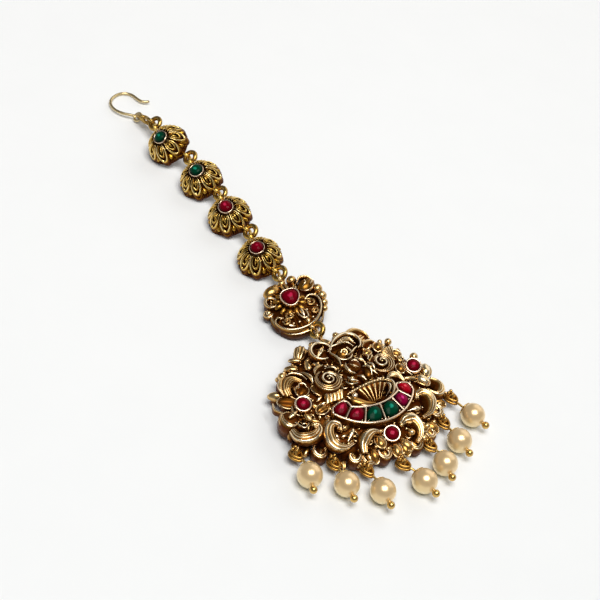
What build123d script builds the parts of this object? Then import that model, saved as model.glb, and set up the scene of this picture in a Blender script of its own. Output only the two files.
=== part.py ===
from build123d import *
import os
from math import atan2, cos, radians, sin

# A maang tikka in temple-jewellery style, lying on its back: a wire hook, a chain of four
# domed flowers, a medallion, and a crescent-set pendant with seven pearl drops.
# Millimetres. +Z is up, +Y runs along the chain to the hook, +X is the wearer's left of it.
# The origin is the middle of the pendant's flat back.

# ---- driving dimensions ----
gap = 0.06                # clearance round every set stone and threaded bead
wall = 0.34               # collet and channel walls
seat_depth = 1.0          # depth of a stone's pocket
plate_thick = 2.2         # pendant's back plate with its rim
relief_top = 4.6          # level of the pendant's worked ground

# crescent channel: region between two arcs, cut by a fan of walls
arc_x = 0.3               # both arcs' centres in X
outer_y = 1.8
outer_r = 11.2
inner_y = 5.9
inner_r = 11.5
fan_y = 4.0               # the walls point to this height
fan_angles = [-52.5, -37.0, -19.8, -1.0, 19.2, 35.3, 48.0]   # from straight down
arc_wall = 0.5            # the channel's bright walls
channel_top = 6.3
arc_stone_top = 7.05
arc_stone_bevel = 0.45
end_corner = 0.8          # corner radius of the two end stones
cell_corner = 0.5         # and of the four between them

# link rings: round wire, all of one size
ring_r = 1.42             # centre line
ring_wire = 0.56          # wire radius
lean = 45.0               # the planes of the rings and of the hook's eye lean this far from the table
loop_r = 0.95             # soldered loops that the rings pass through
loop_wire = 0.3
loop_angle = 105.0        # where a loop sits on its ring, from the ring's upper side

# flowers
flower_r = 4.9
flower_back_r = 4.4
flower_plate = 1.5
flower_bulge = (3.5, 3.4)        # a point half way up the dome: distance from the axis, level
flower_crown = 4.5        # level where the dome meets the collet
flower_rim = 5.2          # level of the collet's rim
flower_stone_top = 5.95
collet_r = 1.75
petal_count = 8
petal_ring = 3.6          # the petals' centres lie this far out
petal_r = 1.3
petal_height = 3.0
petal_taper = 12
petal_start = 10          # degrees

# medallion
medal_r = 6.9
medal_disc_r = 5.8
medal_plate = 1.7
medal_lobes = 11
medal_lobe_ring = 5.4     # the lobes' centres lie this far out
medal_lobe_r = 1.5
medal_lobe_start = 16     # degrees
medal_edge = (5.3, 5.9)   # inner and outer radius of the raised edge
medal_edge_height = 1.5
medal_tail_level = 1.2
medal_stone = (-1.1, 0.1)
medal_collet_r = 2.3
medal_rim = 5.3
medal_stone_top = 6.0

# drops
pearl_r = 2.5
bore_r = 0.33
pin_r = 0.25
ball_r = 0.78
eye_r = 1.2               # pin's eye, centre line, lying flat
eye_wire = 0.32
lug_r = 0.82              # upright loop on the rim, which the eye hangs in
lug_wire = 0.25

# pendant's plain forms
relief_half = (15.0, 12.0)       # half axes of the worked ground
relief_taper = 25
lobe_foot = 0.8           # a boss is this much narrower at the table than at its widest
lobe_waist = 2.0          # level where it is widest
lobe_crown = 0.5          # its top, as a share of its widest radius
coil_wall = 0.8           # a coil's straight side ends this far below its top
coil_tip_r = 0.7
coil_foot_inset = 0.1
boss_y = 9.2
boss_foot_r = 2.1
boss_crown_r = 1.1
boss_top = 6.6
figure_y = 2.3
figure_foot_r = 2.4
figure_crown_r = 0.8
figure_top = 8.1
lotus_r = 5.2
lotus_y = -1.0
lotus_depth = 4.5
lotus_top = 7.6
lotus_taper = 6
top_anchor = (1.2, 13.4, 2.4)    # where the tail of the top loop is soldered
small_stone_rise = 0.6    # a collet ruby's crown stands this far over its rim

# hook
hook_wire = 0.36
hook_eye_r = 1.02
eye_x = -2.0
eye_y = 100.5
eye_z = 1.35
hook_slope = 4.4          # degrees, from the eye down to the bow
stem_start = (-0.6, 0.85)        # the shank's points in the hook's plane, from the eye's middle
stem_end = (-2.3, 2.3)
side_end = (-4.12, 6.2)
bow_end = (-0.1, 11.45)
fall_end = (3.2, 9.4)
neck_length = 2.0
tip_end = (5.75, 5.85)
oval_side = 1.15          # hook ring's centre line, half width
oval_wire = 0.36
hang = 20.0               # the oval ring pulls this far round from its neighbours' +Y sides

# ---- tables ----
# chain motifs: centre x, centre y, roll about Y (the chain twists towards the hook)
flowers = {
    1: dict(x=-0.75, y=85.0, roll=40.5),
    2: dict(x=1.08, y=71.3, roll=27.0),
    3: dict(x=1.40, y=57.55, roll=24.2),
    4: dict(x=1.32, y=43.05, roll=20.6),
}
medal = dict(x=1.13, y=27.3, roll=10.0)

# link rings: centre
rings = {
    0: dict(x=-1.00, y=93.15, z=4.4),
    1: dict(x=1.07, y=78.15, z=4.6),
    2: dict(x=2.05, y=64.42, z=4.2),
    3: dict(x=2.45, y=50.32, z=4.0),
    4: dict(x=2.10, y=36.30, z=3.7),
    5: dict(x=1.20, y=18.62, z=3.4),
}

# pendant rim, right half: bosses along the outline (x, y, widest radius) and their heights
rim_lobes = [
    dict(x=0.0, y=-13.6, r=2.0, top=3.9),
    dict(x=4.3, y=-12.0, r=2.3, top=5.2),
    dict(x=8.6, y=-10.5, r=2.4, top=5.4),
    dict(x=12.6, y=-7.3, r=2.5, top=5.3),
    dict(x=15.3, y=-3.9, r=2.2, top=4.8),
    dict(x=15.9, y=-0.2, r=1.7, top=4.4),
    dict(x=15.4, y=3.2, r=1.8, top=4.4),
    dict(x=13.0, y=5.9, r=2.2, top=4.8),
    dict(x=10.8, y=9.0, r=2.3, top=5.0),
    dict(x=7.6, y=12.0, r=2.8, top=5.8),
    dict(x=3.2, y=14.2, r=1.9, top=5.0),
]
# corners of the plate between the bosses, right half
core_points = [
    (0, 14.2), (7.5, 12.5), (12.5, 7.5), (15.5, 2), (15.3, -4), (11.5, -8.5), (6, -12), (0, -13.5)
]

# round collets on the pendant: centre x, y, outer radius, rim level
collets = {
    "ruby_left": dict(x=-13.4, y=0.7, r=1.65, rim=6.0),
    "ruby_right": dict(x=13.5, y=0.9, r=1.65, rim=6.0),
    "ruby_bottom": dict(x=0.0, y=-11.6, r=1.65, rim=4.8),
}
# coils on the pendant: centre x, y (both sides), radius, level of the top
coils = [
    dict(x=6.4, y=2.8, r=2.9, top=7.4),
    dict(x=3.5, y=10.5, r=2.5, top=7.1),
]

# drops: middle of the pin's eye, middle of the pearl, and the pearl's turn from straight down
drops = {
    1: dict(eye_x=-19.2, eye_y=-7.4, x=-19.2, y=-12.7, turn=-19.5, lobe=(-15.3, -3.9)),
    2: dict(eye_x=-13.4, eye_y=-12.0, x=-13.7, y=-17.3, turn=-9.0, lobe=(-12.6, -7.3)),
    3: dict(eye_x=-8.3, eye_y=-16.0, x=-8.1, y=-21.4, turn=-7.0, lobe=(-8.6, -10.5)),
    4: dict(eye_x=-0.9, eye_y=-17.6, x=0.8, y=-22.7, turn=6.0, lobe=(0.0, -13.6)),
    5: dict(eye_x=6.8, eye_y=-15.9, x=7.1, y=-20.9, turn=-12.0, lobe=(4.3, -12.0)),
    6: dict(eye_x=12.9, eye_y=-12.2, x=13.25, y=-17.4, turn=0.0, lobe=(12.6, -7.3)),
    7: dict(eye_x=18.3, eye_y=-7.5, x=19.9, y=-13.1, turn=15.0, lobe=(15.3, -3.9)),
}


# ---- shared shapes ----
standing = (Align.CENTER, Align.CENTER, Align.MIN)
# across a leaning ring, upwards in its plane, and square to it
lean_up = Vector(cos(radians(lean)), 0, sin(radians(lean)))
lean_normal = Vector(-sin(radians(lean)), 0, cos(radians(lean)))


def middle_of(spot):
    """The centre that a table's row gives."""
    return Vector(spot["x"], spot["y"], spot.get("z", pearl_r))


def rod(start, end, radius):
    """A round rod between two points."""
    along = end - start
    plane = Plane(origin=start, z_dir=along.normalized())
    return extrude(plane * Circle(radius), amount=along.length)


def wire_ring(centre, normal, radius, wire):
    """A closed round ring of round wire."""
    return Plane(origin=centre, z_dir=normal) * Torus(radius, wire)


def rolled_plane(x, y, roll, radius):
    """The back of a motif rolled about Y until one edge of its disc lies on the table."""
    a = radians(roll)
    return Plane(
        origin=(x, y, radius * sin(a)),
        x_dir=(cos(a), 0, sin(a)),
        z_dir=(-sin(a), 0, cos(a)),
    )


def link_loop(ring, side, anchor):
    """A soldered loop with its tail: side is +1 where the motif lies on the ring's +Y side."""
    turn = radians(loop_angle)
    along = Vector(0, side, 0)
    outward = lean_up * cos(turn) + along * sin(turn)
    tangent = along * cos(turn) - lean_up * sin(turn)
    middle = middle_of(ring) + outward * ring_r
    tail = rod(middle + outward * loop_r, anchor, loop_wire)
    return wire_ring(middle, tangent, loop_r, loop_wire) + tail


def cabochon(plane, radius, floor, girdle, top):
    """A round stone: a short straight girdle under a spherical crown."""
    profile_plane = Plane(origin=plane.origin, x_dir=plane.x_dir, z_dir=-plane.y_dir)
    with BuildPart() as stone:
        with BuildSketch(profile_plane):
            with BuildLine():
                Line((0, floor), (radius, floor))
                Line((radius, floor), (radius, girdle))
                rise = top - girdle
                swell = (radius**2 + rise**2) / (2 * rise)
                half = atan2(radius, swell - rise) / 2
                crown_mid = (swell * sin(half), top - swell + swell * cos(half))
                ThreePointArc((radius, girdle), crown_mid, (0, top))
                Line((0, top), (0, floor))
            make_face()
        revolve(axis=Axis(plane.origin, plane.z_dir))
    return stone


def finish(part, name):
    part.label = name
    export_step(part, f"parts/{name}.step")


os.makedirs("parts", exist_ok=True)

# ---- chain flowers ----
for number, spot in flowers.items():
    back = rolled_plane(spot["x"], spot["y"], spot["roll"], flower_r)
    profile_plane = Plane(origin=back.origin, x_dir=back.x_dir, z_dir=-back.y_dir)
    axis = Axis(back.origin, back.z_dir)
    pocket_floor = flower_rim - seat_depth
    with BuildPart() as flower:
        with BuildSketch(profile_plane):
            with BuildLine():
                Polyline((0, 0), (flower_back_r, 0), (flower_back_r, flower_plate))
                ThreePointArc((flower_back_r, flower_plate), flower_bulge, (collet_r, flower_crown))
                Polyline((collet_r, flower_crown), (collet_r, flower_rim), (0, flower_rim), (0, 0))
            make_face()
        revolve(axis=axis)
        with BuildSketch(back):
            with PolarLocations(petal_ring, petal_count, start_angle=petal_start):
                Circle(petal_r)
        extrude(amount=petal_height, taper=petal_taper)
        with BuildSketch(back.offset(pocket_floor)):
            Circle(collet_r - wall)
        extrude(amount=seat_depth, mode=Mode.SUBTRACT)
    body = flower.part
    for side, ring in ((-1, rings[number - 1]), (1, rings[number])):
        anchor = back.origin - back.y_dir * side * petal_ring + back.z_dir * flower_plate / 2
        body = body + link_loop(ring, side, anchor)
    finish(body, f"flower_{number}")
    stone = cabochon(back, collet_r - wall - gap, pocket_floor, flower_rim, flower_stone_top)
    finish(stone.part, f"flower_stone_{number}")

# ---- medallion ----
medal_back = rolled_plane(medal["x"], medal["y"], medal["roll"], medal_r)
stone_spot = medal_back.origin + medal_back.x_dir * medal_stone[0] + medal_back.y_dir * medal_stone[1]
stone_plane = Plane(origin=stone_spot, x_dir=medal_back.x_dir, z_dir=medal_back.z_dir)
medal_floor = medal_rim - seat_depth
with BuildPart() as medallion:
    with BuildSketch(medal_back):
        Circle(medal_disc_r)
        with PolarLocations(medal_lobe_ring, medal_lobes, start_angle=medal_lobe_start):
            Circle(medal_lobe_r)
    extrude(amount=medal_plate)
    with BuildSketch(medal_back.offset(medal_plate)):
        Circle(medal_edge[1])
        Circle(medal_edge[0], mode=Mode.SUBTRACT)
    extrude(amount=medal_edge_height)
    with BuildSketch(stone_plane):
        Circle(medal_collet_r)
    extrude(amount=medal_rim)
    with BuildSketch(stone_plane.offset(medal_floor)):
        Circle(medal_collet_r - wall)
    extrude(amount=seat_depth, mode=Mode.SUBTRACT)
medal_body = medallion.part
for side, ring in ((-1, rings[4]), (1, rings[5])):
    anchor = medal_back.origin - medal_back.y_dir * side * medal_edge[0] + medal_back.z_dir * medal_tail_level
    medal_body = medal_body + link_loop(ring, side, anchor)
finish(medal_body, "medallion")
medal_cab = cabochon(stone_plane, medal_collet_r - wall - gap, medal_floor, medal_rim, medal_stone_top)
finish(medal_cab.part, "medallion_stone")


# ---- pendant ----
def fan_point(angle, distance):
    """A point on the fan's ray at an angle from straight down."""
    return (arc_x + distance * sin(radians(angle)), fan_y - distance * cos(radians(angle)))


def crescent(first, last, inset):
    """The channel's band between two rays of the fan, drawn in by inset on every side."""
    reach = outer_r + outer_y + fan_y      # past the outer arc on every ray
    apex_back = inset / sin(radians(last - first) / 2)
    a, b = radians(first), radians(last)
    mid = radians(first + last) / 2
    apex = (arc_x + apex_back * sin(mid), fan_y - apex_back * cos(mid))
    ray_a = (apex[0] + reach * sin(a), apex[1] - reach * cos(a))
    ray_b = (apex[0] + reach * sin(b), apex[1] - reach * cos(b))
    tip = fan_point((first + last) / 2, 2 * reach)
    wedge = make_face(Polyline(apex, ray_a, tip, ray_b, apex))
    outer = Pos(arc_x, outer_y) * Circle(outer_r - inset)
    inner = Pos(arc_x, inner_y) * Circle(inner_r + inset)
    return (outer - inner) & wedge


def cell(index, inset):
    """One stone's cell with rounded corners."""
    face = crescent(fan_angles[index], fan_angles[index + 1], inset)
    end_cell = index in (0, len(fan_angles) - 2)
    return fillet(face.vertices(), end_corner if end_cell else cell_corner)


def loop_lug(drop):
    """Upright loop round the wire of a pin's eye, with a tail into the rim."""
    eye_middle = Vector(drop["eye_x"], drop["eye_y"], pearl_r)
    inward = (Vector(*drop["lobe"], pearl_r) - eye_middle).normalized()
    middle = eye_middle + inward * (eye_r + lug_r - lug_wire - eye_wire - gap)
    tail_end = Vector(*drop["lobe"], lobe_waist)
    normal = inward.cross(Vector(0, 0, 1))
    return wire_ring(middle, normal, lug_r, lug_wire) + rod(middle + inward * lug_r, tail_end, lug_wire)


with BuildPart() as pendant:
    with BuildSketch():
        with BuildLine():
            mirrored = [(-x, y) for x, y in reversed(core_points[1:-1])]
            Polyline(core_points + mirrored, close=True)
        make_face()
    extrude(amount=plate_thick)
    with BuildSketch(Plane.XY.offset(plate_thick)):
        Ellipse(*relief_half)
    extrude(amount=relief_top - plate_thick, taper=relief_taper)
    for lobe in rim_lobes:
        wide = lobe["r"]
        crown = lobe["top"] - lobe_waist
        with Locations((lobe["x"], lobe["y"], 0), (-lobe["x"], lobe["y"], 0)):
            Cone(wide - lobe_foot, wide, lobe_waist, align=standing)
        with Locations((lobe["x"], lobe["y"], lobe_waist), (-lobe["x"], lobe["y"], lobe_waist)):
            Cone(wide, lobe_crown * wide, crown, align=standing)
    for coil in coils:
        with Locations((coil["x"], coil["y"], 0), (-coil["x"], coil["y"], 0)):
            Cylinder(coil["r"], coil["top"] - coil_wall, align=standing)
            Cone(coil["r"] - coil_foot_inset, coil_tip_r, coil["top"], align=standing)
    with Locations((0, boss_y, 0)):
        Cone(boss_foot_r, boss_crown_r, boss_top, align=standing)
    with Locations((0, figure_y, 0)):
        Cone(figure_foot_r, figure_crown_r, figure_top, align=standing)
    with BuildSketch(Plane.XY):
        with BuildLine():
            Line((lotus_r, lotus_y), (-lotus_r, lotus_y))
            ThreePointArc((-lotus_r, lotus_y), (0, lotus_y - lotus_depth), (lotus_r, lotus_y))
        make_face()
    extrude(amount=lotus_top, taper=lotus_taper)
    for place in collets.values():
        with Locations((place["x"], place["y"], 0)):
            Cylinder(place["r"], place["rim"], align=standing)
        with Locations((place["x"], place["y"], place["rim"])):
            Cylinder(place["r"] - wall, 2 * seat_depth, mode=Mode.SUBTRACT)

band = extrude(crescent(fan_angles[0] - 1, fan_angles[-1] + 1, -arc_wall / 2), amount=channel_top)
pendant_body = pendant.part + band
arc_floor = channel_top - seat_depth
for index in range(len(fan_angles) - 1):
    pocket = extrude(Pos(0, 0, arc_floor) * cell(index, arc_wall / 2), amount=3 * seat_depth)
    pendant_body = pendant_body - pocket
for drop in drops.values():
    pendant_body = pendant_body + loop_lug(drop)
pendant_body = pendant_body + link_loop(rings[5], -1, Vector(*top_anchor))
finish(pendant_body, "pendant")

# ---- pendant stones ----
for index in range(len(fan_angles) - 1):
    height = arc_stone_top - arc_floor
    stone = extrude(Pos(0, 0, arc_floor) * cell(index, arc_wall / 2 + gap), amount=height)
    stone = chamfer(stone.faces().sort_by(Axis.Z)[-1].edges(), arc_stone_bevel)
    finish(stone, f"arc_stone_{index + 1}")

for name, place in collets.items():
    plane = Plane(origin=(place["x"], place["y"], 0))
    floor = place["rim"] - seat_depth
    crown = place["rim"] + small_stone_rise
    stone = cabochon(plane, place["r"] - wall - gap, floor, place["rim"], crown)
    finish(stone.part, name)

# ---- link rings ----
for number, spot in rings.items():
    ring = wire_ring(middle_of(spot), lean_normal, ring_r, ring_wire)
    finish(ring, f"link_ring_{number}")

# ---- drops: a flat eye, a neck to the pearl, and a pin through it to the end ball ----
for number, drop in drops.items():
    eye_middle = Vector(drop["eye_x"], drop["eye_y"], pearl_r)
    bead = middle_of(drop)
    turn = radians(drop["turn"])
    axis = Vector(sin(turn), -cos(turn), 0)
    mouth = bead - axis * (pearl_r + gap)
    neck_start = eye_middle + (mouth - eye_middle).normalized() * eye_r
    foot = bead + axis * (pearl_r + gap + ball_r)
    pin = wire_ring(eye_middle, Vector(0, 0, 1), eye_r, eye_wire)
    pin = pin + rod(neck_start, mouth, pin_r) + rod(mouth, foot, pin_r)
    pin = pin + Pos(mouth) * Sphere(pin_r) + Pos(foot) * Sphere(ball_r)
    finish(pin, f"headpin_{number}")
    pearl = Pos(bead) * Sphere(pearl_r)
    pearl = pearl - rod(bead - axis * 2 * pearl_r, bead + axis * 2 * pearl_r, bore_r)
    finish(pearl, f"pearl_{number}")

# ---- hook and its oval ring ----
# the hook's plane sinks from the raised eye to the bow, which lies on the table
slope = radians(hook_slope)
hook_plane = Plane(
    origin=(eye_x, eye_y, eye_z),
    x_dir=(1, 0, 0),
    z_dir=(0, sin(slope), cos(slope)),
)
with BuildPart() as hair_hook:
    with BuildLine(hook_plane) as shank:
        stem = Line(stem_start, stem_end)
        side = TangentArc(stem @ 1, side_end, tangent=stem % 1)
        bow = TangentArc(side @ 1, bow_end, tangent=side % 1)
        fall = TangentArc(bow @ 1, fall_end, tangent=bow % 1)
        neck = Line(fall @ 1, fall @ 1 + (fall % 1) * neck_length)
        TangentArc(neck @ 1, tip_end, tangent=neck % 1)
    with BuildSketch(Plane(origin=shank.line @ 0, z_dir=shank.line % 0)):
        Circle(hook_wire)
    sweep()
eye_middle = Vector(eye_x, eye_y, eye_z)
eye = wire_ring(eye_middle, lean_normal, hook_eye_r, hook_wire)
finish(hair_hook.part + eye, "hair_hook")

pull = Vector(0, cos(radians(hang)), 0) - lean_up * sin(radians(hang))
ring_grip = middle_of(rings[0]) + pull * ring_r
eye_grip = eye_middle - pull * hook_eye_r
run = (eye_grip - ring_grip).normalized()
near = ring_grip - run * (ring_wire + oval_wire + gap)
far = eye_grip + run * (hook_wire + oval_wire + gap)
across = run.cross(lean_up).normalized()
oval_plane = Plane(origin=near, x_dir=run, z_dir=run.cross(across))
length = (far - near).length
with BuildPart() as hook_ring:
    with BuildLine(oval_plane) as outline:
        upper = Line((oval_side, oval_side), (length - oval_side, oval_side))
        ThreePointArc(upper @ 1, (length, 0), (length - oval_side, -oval_side))
        Line((length - oval_side, -oval_side), (oval_side, -oval_side))
        ThreePointArc((oval_side, -oval_side), (0, 0), (oval_side, oval_side))
    with BuildSketch(Plane(origin=outline.line @ 0, z_dir=outline.line % 0)):
        Circle(oval_wire)
    sweep()
finish(hook_ring.part, "hook_ring")
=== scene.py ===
from math import radians

import bpy
import numpy as np
from mathutils import Matrix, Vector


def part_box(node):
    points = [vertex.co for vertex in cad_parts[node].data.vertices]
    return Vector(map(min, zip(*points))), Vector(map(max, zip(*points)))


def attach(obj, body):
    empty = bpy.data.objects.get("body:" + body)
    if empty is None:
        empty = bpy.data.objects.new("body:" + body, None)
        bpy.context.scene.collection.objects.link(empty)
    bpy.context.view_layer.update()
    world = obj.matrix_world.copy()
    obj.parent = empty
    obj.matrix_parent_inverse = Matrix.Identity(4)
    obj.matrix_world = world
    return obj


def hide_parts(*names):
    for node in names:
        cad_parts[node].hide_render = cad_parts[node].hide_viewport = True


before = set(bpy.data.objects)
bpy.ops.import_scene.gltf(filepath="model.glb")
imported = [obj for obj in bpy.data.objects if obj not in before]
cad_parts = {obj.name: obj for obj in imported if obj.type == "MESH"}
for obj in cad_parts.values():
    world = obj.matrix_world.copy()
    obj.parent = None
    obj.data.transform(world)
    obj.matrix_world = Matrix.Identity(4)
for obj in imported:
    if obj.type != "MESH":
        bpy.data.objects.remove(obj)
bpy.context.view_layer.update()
mm = 0.001
rng = np.random.default_rng(11)
print("frame loaded:", len(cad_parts), "nodes")


# Shapes. Every shell is a closed surface, in millimetres.

def unit(v):
    return v / np.maximum(np.linalg.norm(v, axis=-1, keepdims=True), 1e-9)


def shell(points, wearAndShading, poles=None, loop=False, pale=0.0):
    # rows × columns of points; columns close on themselves, rows too if loop, else a pole closes each end
    rows, cols = points.shape[:2]
    index = np.arange(rows * cols).reshape(rows, cols)
    nextRow = np.roll(index, -1, 0) if loop else index[1:]
    thisRow = index if loop else index[:-1]
    quads = np.stack([thisRow, nextRow, np.roll(nextRow, -1, 1), np.roll(thisRow, -1, 1)], -1).reshape(-1, 4)
    flat = points.reshape(-1, 3)
    wearAndShading = np.broadcast_to(wearAndShading, (rows, cols)).reshape(-1)
    tris = np.zeros((0, 3), int)
    if not loop:
        if poles is None:
            poles = (points[0].mean(0), points[-1].mean(0))
        n = len(flat)
        flat = np.vstack([flat, poles[0], poles[1]])
        wearAndShading = np.append(wearAndShading, [wearAndShading[:cols].mean(), wearAndShading[-cols:].mean()])
        first, last = index[0], index[-1]
        startFan = np.stack([np.full(cols, n), first, np.roll(first, -1)], -1)
        endFan = np.stack([np.full(cols, n + 1), np.roll(last, -1), last], -1)
        tris = np.vstack([startFan, endFan])
    # six times the volume = Σ a·(b × c); if it is negative, the faces are turned to look outwards
    corners = np.vstack([quads[:, :3], quads[:, [0, 2, 3]], tris])
    a, b, c = (flat[corners[:, k]] for k in range(3))
    if np.einsum("ij,ij->", a, np.cross(b, c)) < 0:
        quads, tris = quads[:, ::-1], tris[:, ::-1]
    return dict(points=flat, quads=quads, tris=tris, wearAndShading=wearAndShading, pale=np.full(len(flat), float(pale)))


def moved(part, matrix):
    # the shell carried by a 4 × 4 matrix
    matrix = np.array(matrix)
    return dict(part, points=part["points"] @ matrix[:3, :3].T + matrix[:3, 3])


def carried(centre, side, up, outline, wearAndShading, loop=False):
    # an outline (rows × columns × 2) carried along a path: point = centre + side·s + up·u
    points = centre[:, None] + outline[..., :1] * side[:, None] + outline[..., 1:] * up[:, None]
    return shell(points, wearAndShading, loop=loop)


def pathFrames(centre, normal=(0, 0, 1), loop=False):
    # side lies across the path, square to the given normal or normals; up completes the pair
    if loop:
        tangent = unit(np.roll(centre, -1, 0) - np.roll(centre, 1, 0))
    else:
        tangent = unit(np.gradient(centre, axis=0))
    side = unit(np.cross(tangent, np.broadcast_to(np.array(normal, float), centre.shape)))
    return side, np.cross(side, tangent)


def wire(centre, radius, normal=(0, 0, 1), loop=False, wearAndShading=0.9, cols=12):
    # round wire along a path
    angle = around(cols)
    outline = radius * np.stack([np.cos(angle), np.sin(angle)], -1)[None]
    side, up = pathFrames(centre, normal, loop)
    return carried(centre, side, up, outline, wearAndShading, loop)


def ring(centre, normal, radius, thickness, wearAndShading=0.9, count=48, cols=12):
    # round wire on a circle that lies square to the normal
    normal = unit(np.array(normal, float))
    helper = np.array([0.0, 1.0, 0.0]) if abs(normal[1]) < 0.9 else np.array([1.0, 0.0, 0.0])
    across = unit(np.cross(normal, helper))
    t = around(count)[:, None]
    path = np.array(centre) + radius * np.cos(t) * across + radius * np.sin(t) * np.cross(normal, across)
    return wire(path, thickness, normal, True, wearAndShading, cols)


def around(count):
    # evenly spaced angles, once round
    return np.linspace(0, 2 * np.pi, count, endpoint=False)


def polar(radius, angle, level):
    # point = (radius·cos angle, radius·sin angle, level)
    return np.stack(np.broadcast_arrays(radius * np.cos(angle), radius * np.sin(angle), level), -1)


def swung(along, across, azimuth, level):
    # point = (along, across) turned by the azimuth, and its level
    c, s = np.cos(radians(azimuth)), np.sin(radians(azimuth))
    return np.stack([along * c - across * s, along * s + across * c, level], -1)


def lathe(profile, centre=(0, 0, 0), cols=48, wearAndShading=0.7, pale=0.0):
    # (radius, level) pairs turned about +Z; the first and last close on the axis
    profile = np.array(profile, float)
    points = polar(profile[:, :1], around(cols), profile[:, 1:]) + centre
    wearAndShading = np.asarray(wearAndShading, float)
    wearAndShading = wearAndShading[:, None] if wearAndShading.ndim else wearAndShading
    poles = [np.array([centre[0], centre[1], centre[2] + profile[k, 1]]) for k in (0, -1)]
    return shell(points, wearAndShading, poles=poles, pale=pale)


def ball(centre, radius, squash=1.0, rows=12, cols=20, wearAndShading=0.9, pale=0.0):
    # a half circle, squashed in height, turned about its upright axis
    t = np.linspace(-0.46, 0.46, rows) * np.pi
    part = lathe(np.stack([radius * np.cos(t), radius * squash * np.sin(t)], -1), centre, cols, wearAndShading, pale)
    part["points"][-2:] = np.array(centre) + [[0, 0, -radius * squash], [0, 0, radius * squash]]
    return part


def spiral(x, y, r0, r1, a0, a1, z0, z1, lift=0.0, count=64, stretch=1.0):
    # the radius runs evenly from r0 to r1 while the angle goes from a0 to a1, and the level from z0 to z1
    t = np.linspace(0, 1, count)
    level = z0 + (z1 - z0) * t + lift * np.sin(np.pi * t)
    return polar(r0 + (r1 - r0) * t, np.radians(a0 + (a1 - a0) * t), level) * (stretch, 1, 1) + (x, y, 0)


def curve(points, count=48):
    # a smooth line through a few points: cubic between neighbours, with their chords as tangents
    points = np.array(points, float)
    t = np.linspace(0, len(points) - 1, count)
    k = np.minimum(t.astype(int), len(points) - 2)
    f = (t - k)[:, None]
    slope = np.gradient(points, axis=0)
    return ((2 * f**3 - 3 * f**2 + 1) * points[k] + (f**3 - 2 * f**2 + f) * slope[k]
            + (3 * f**2 - 2 * f**3) * points[k + 1] + (f**3 - f**2) * slope[k + 1])


def swell(count, start, end, peak=0.5, power=1.0):
    # rises from start to 1 at the peak and falls to end, in two half cosines
    t = np.linspace(0, 1, count)
    rise = 0.5 - 0.5 * np.cos(np.pi * np.clip(t / peak, 0, 1))
    fall = 0.5 + 0.5 * np.cos(np.pi * np.clip((t - peak) / (1 - peak), 0, 1))
    return np.where(t < peak, start + (1 - start) * rise**power, end + (1 - end) * fall**power)


def ribbed(centre, width, height, ribs, foot, groove=0.45, normal=(0, 0, 1), cols=None, bright=1.0,
           roundness=0.7, crest=2.6, gather=1.0, hollow=1.0, flat=4.0):
    # across the top x runs from -1 to 1, and q = (1 - hollow·x)/2 from the outer edge to the hollow one:
    # rib = |sin(π·ribs·q^gather)|^roundness, dome = (1 - |x|^flat)^½,
    # level = height·dome·(1 - groove·(1 - rib)), wearAndShading = dome·rib^crest, and a wall falls at
    # both edges; bright on the crests as wear, darker towards the sides and on the walls as patina and
    # painted shade
    rows, cols = len(centre), cols or 8 * ribs + 5
    x = np.sin(np.linspace(-np.pi / 2, np.pi / 2, cols))
    q = np.clip((1 - hollow * x) / 2, 0, 1)
    dome = np.sqrt(np.clip(1 - np.abs(x) ** flat, 0, 1))
    if ribs > 1:
        rib = np.abs(np.sin(np.pi * ribs * q**gather)) ** roundness
        top = dome * (1 - groove * (1 - rib))
        topWearAndShading = np.clip(0.02 + 1.05 * dome * rib**crest, 0, 1) * bright
    else:
        top = dome * (0.72 + 0.28 * np.cos(x * 1.2) ** 0.5)
        topWearAndShading = 0.35 + 0.65 * dome * bright
    wall = np.array([1.0, 0.8, 0.25, -0.25, -0.8, -1.0])
    drop = np.array([0.35, 1, 1, 1, 1, 0.35])
    width, height, foot = (np.broadcast_to(v, rows)[:, None] for v in (width, height, foot))
    across = np.broadcast_to(np.append(x, wall), (rows, cols + 6)) * width
    outline = np.stack([across, np.hstack([height * top, -foot * drop])], -1)
    # the walls are dark: patina and painted shade
    wearAndShading = np.broadcast_to(np.append(topWearAndShading, np.full(6, 0.1)), (rows, cols + 6))
    side, up = pathFrames(centre, normal)
    return carried(centre, side, up, outline, wearAndShading)


def bud(centre, length, width, height, azimuth, ribs=0, bright=1.0, point=0.35, lean=0.0, rows=20, cols=28):
    # a drop lying along an azimuth: a sphere drawn out to length × width × height, flattened below, its
    # far end pointed, with ribs running lengthwise; lean lifts the far end
    t = np.linspace(0.04, 0.96, rows)[:, None] * np.pi
    angle = around(cols)[None]
    taper = 1 - point * (1 - np.cos(t)) / 2
    rib = np.abs(np.sin(ribs * angle / 2)) ** 0.6 if ribs else np.ones_like(angle)
    girth = np.sin(t) ** 0.8 * taper * (1 - 0.22 * (1 - rib))
    along = -np.cos(t) * length + 0 * angle
    side = girth * width * np.cos(angle)
    up = girth * height * np.sin(angle)
    up = np.where(up < 0, up * 0.3, up) + lean * (along + length) / 2
    # the upper side is lighter and the underside darker: painted light and shade
    paintedTopLight = np.clip(np.sin(angle) * 1.4 + 0.3, 0, 1)
    wearAndShading = np.clip((0.25 + 0.75 * rib) * (0.35 + 0.65 * paintedTopLight), 0, 1) * bright
    points = swung(along, side, azimuth, up) + centre
    poles = [swung(end, 0.0, azimuth, lean * (end + length) / 2) + centre for end in (-length, length)]
    return shell(points, np.broadcast_to(wearAndShading, points.shape[:2]), poles)


# Wear and painted shade. It says how far a point of the metal stands out of the work around it;
# what lies below is darkened as patina and painted shade.

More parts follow.
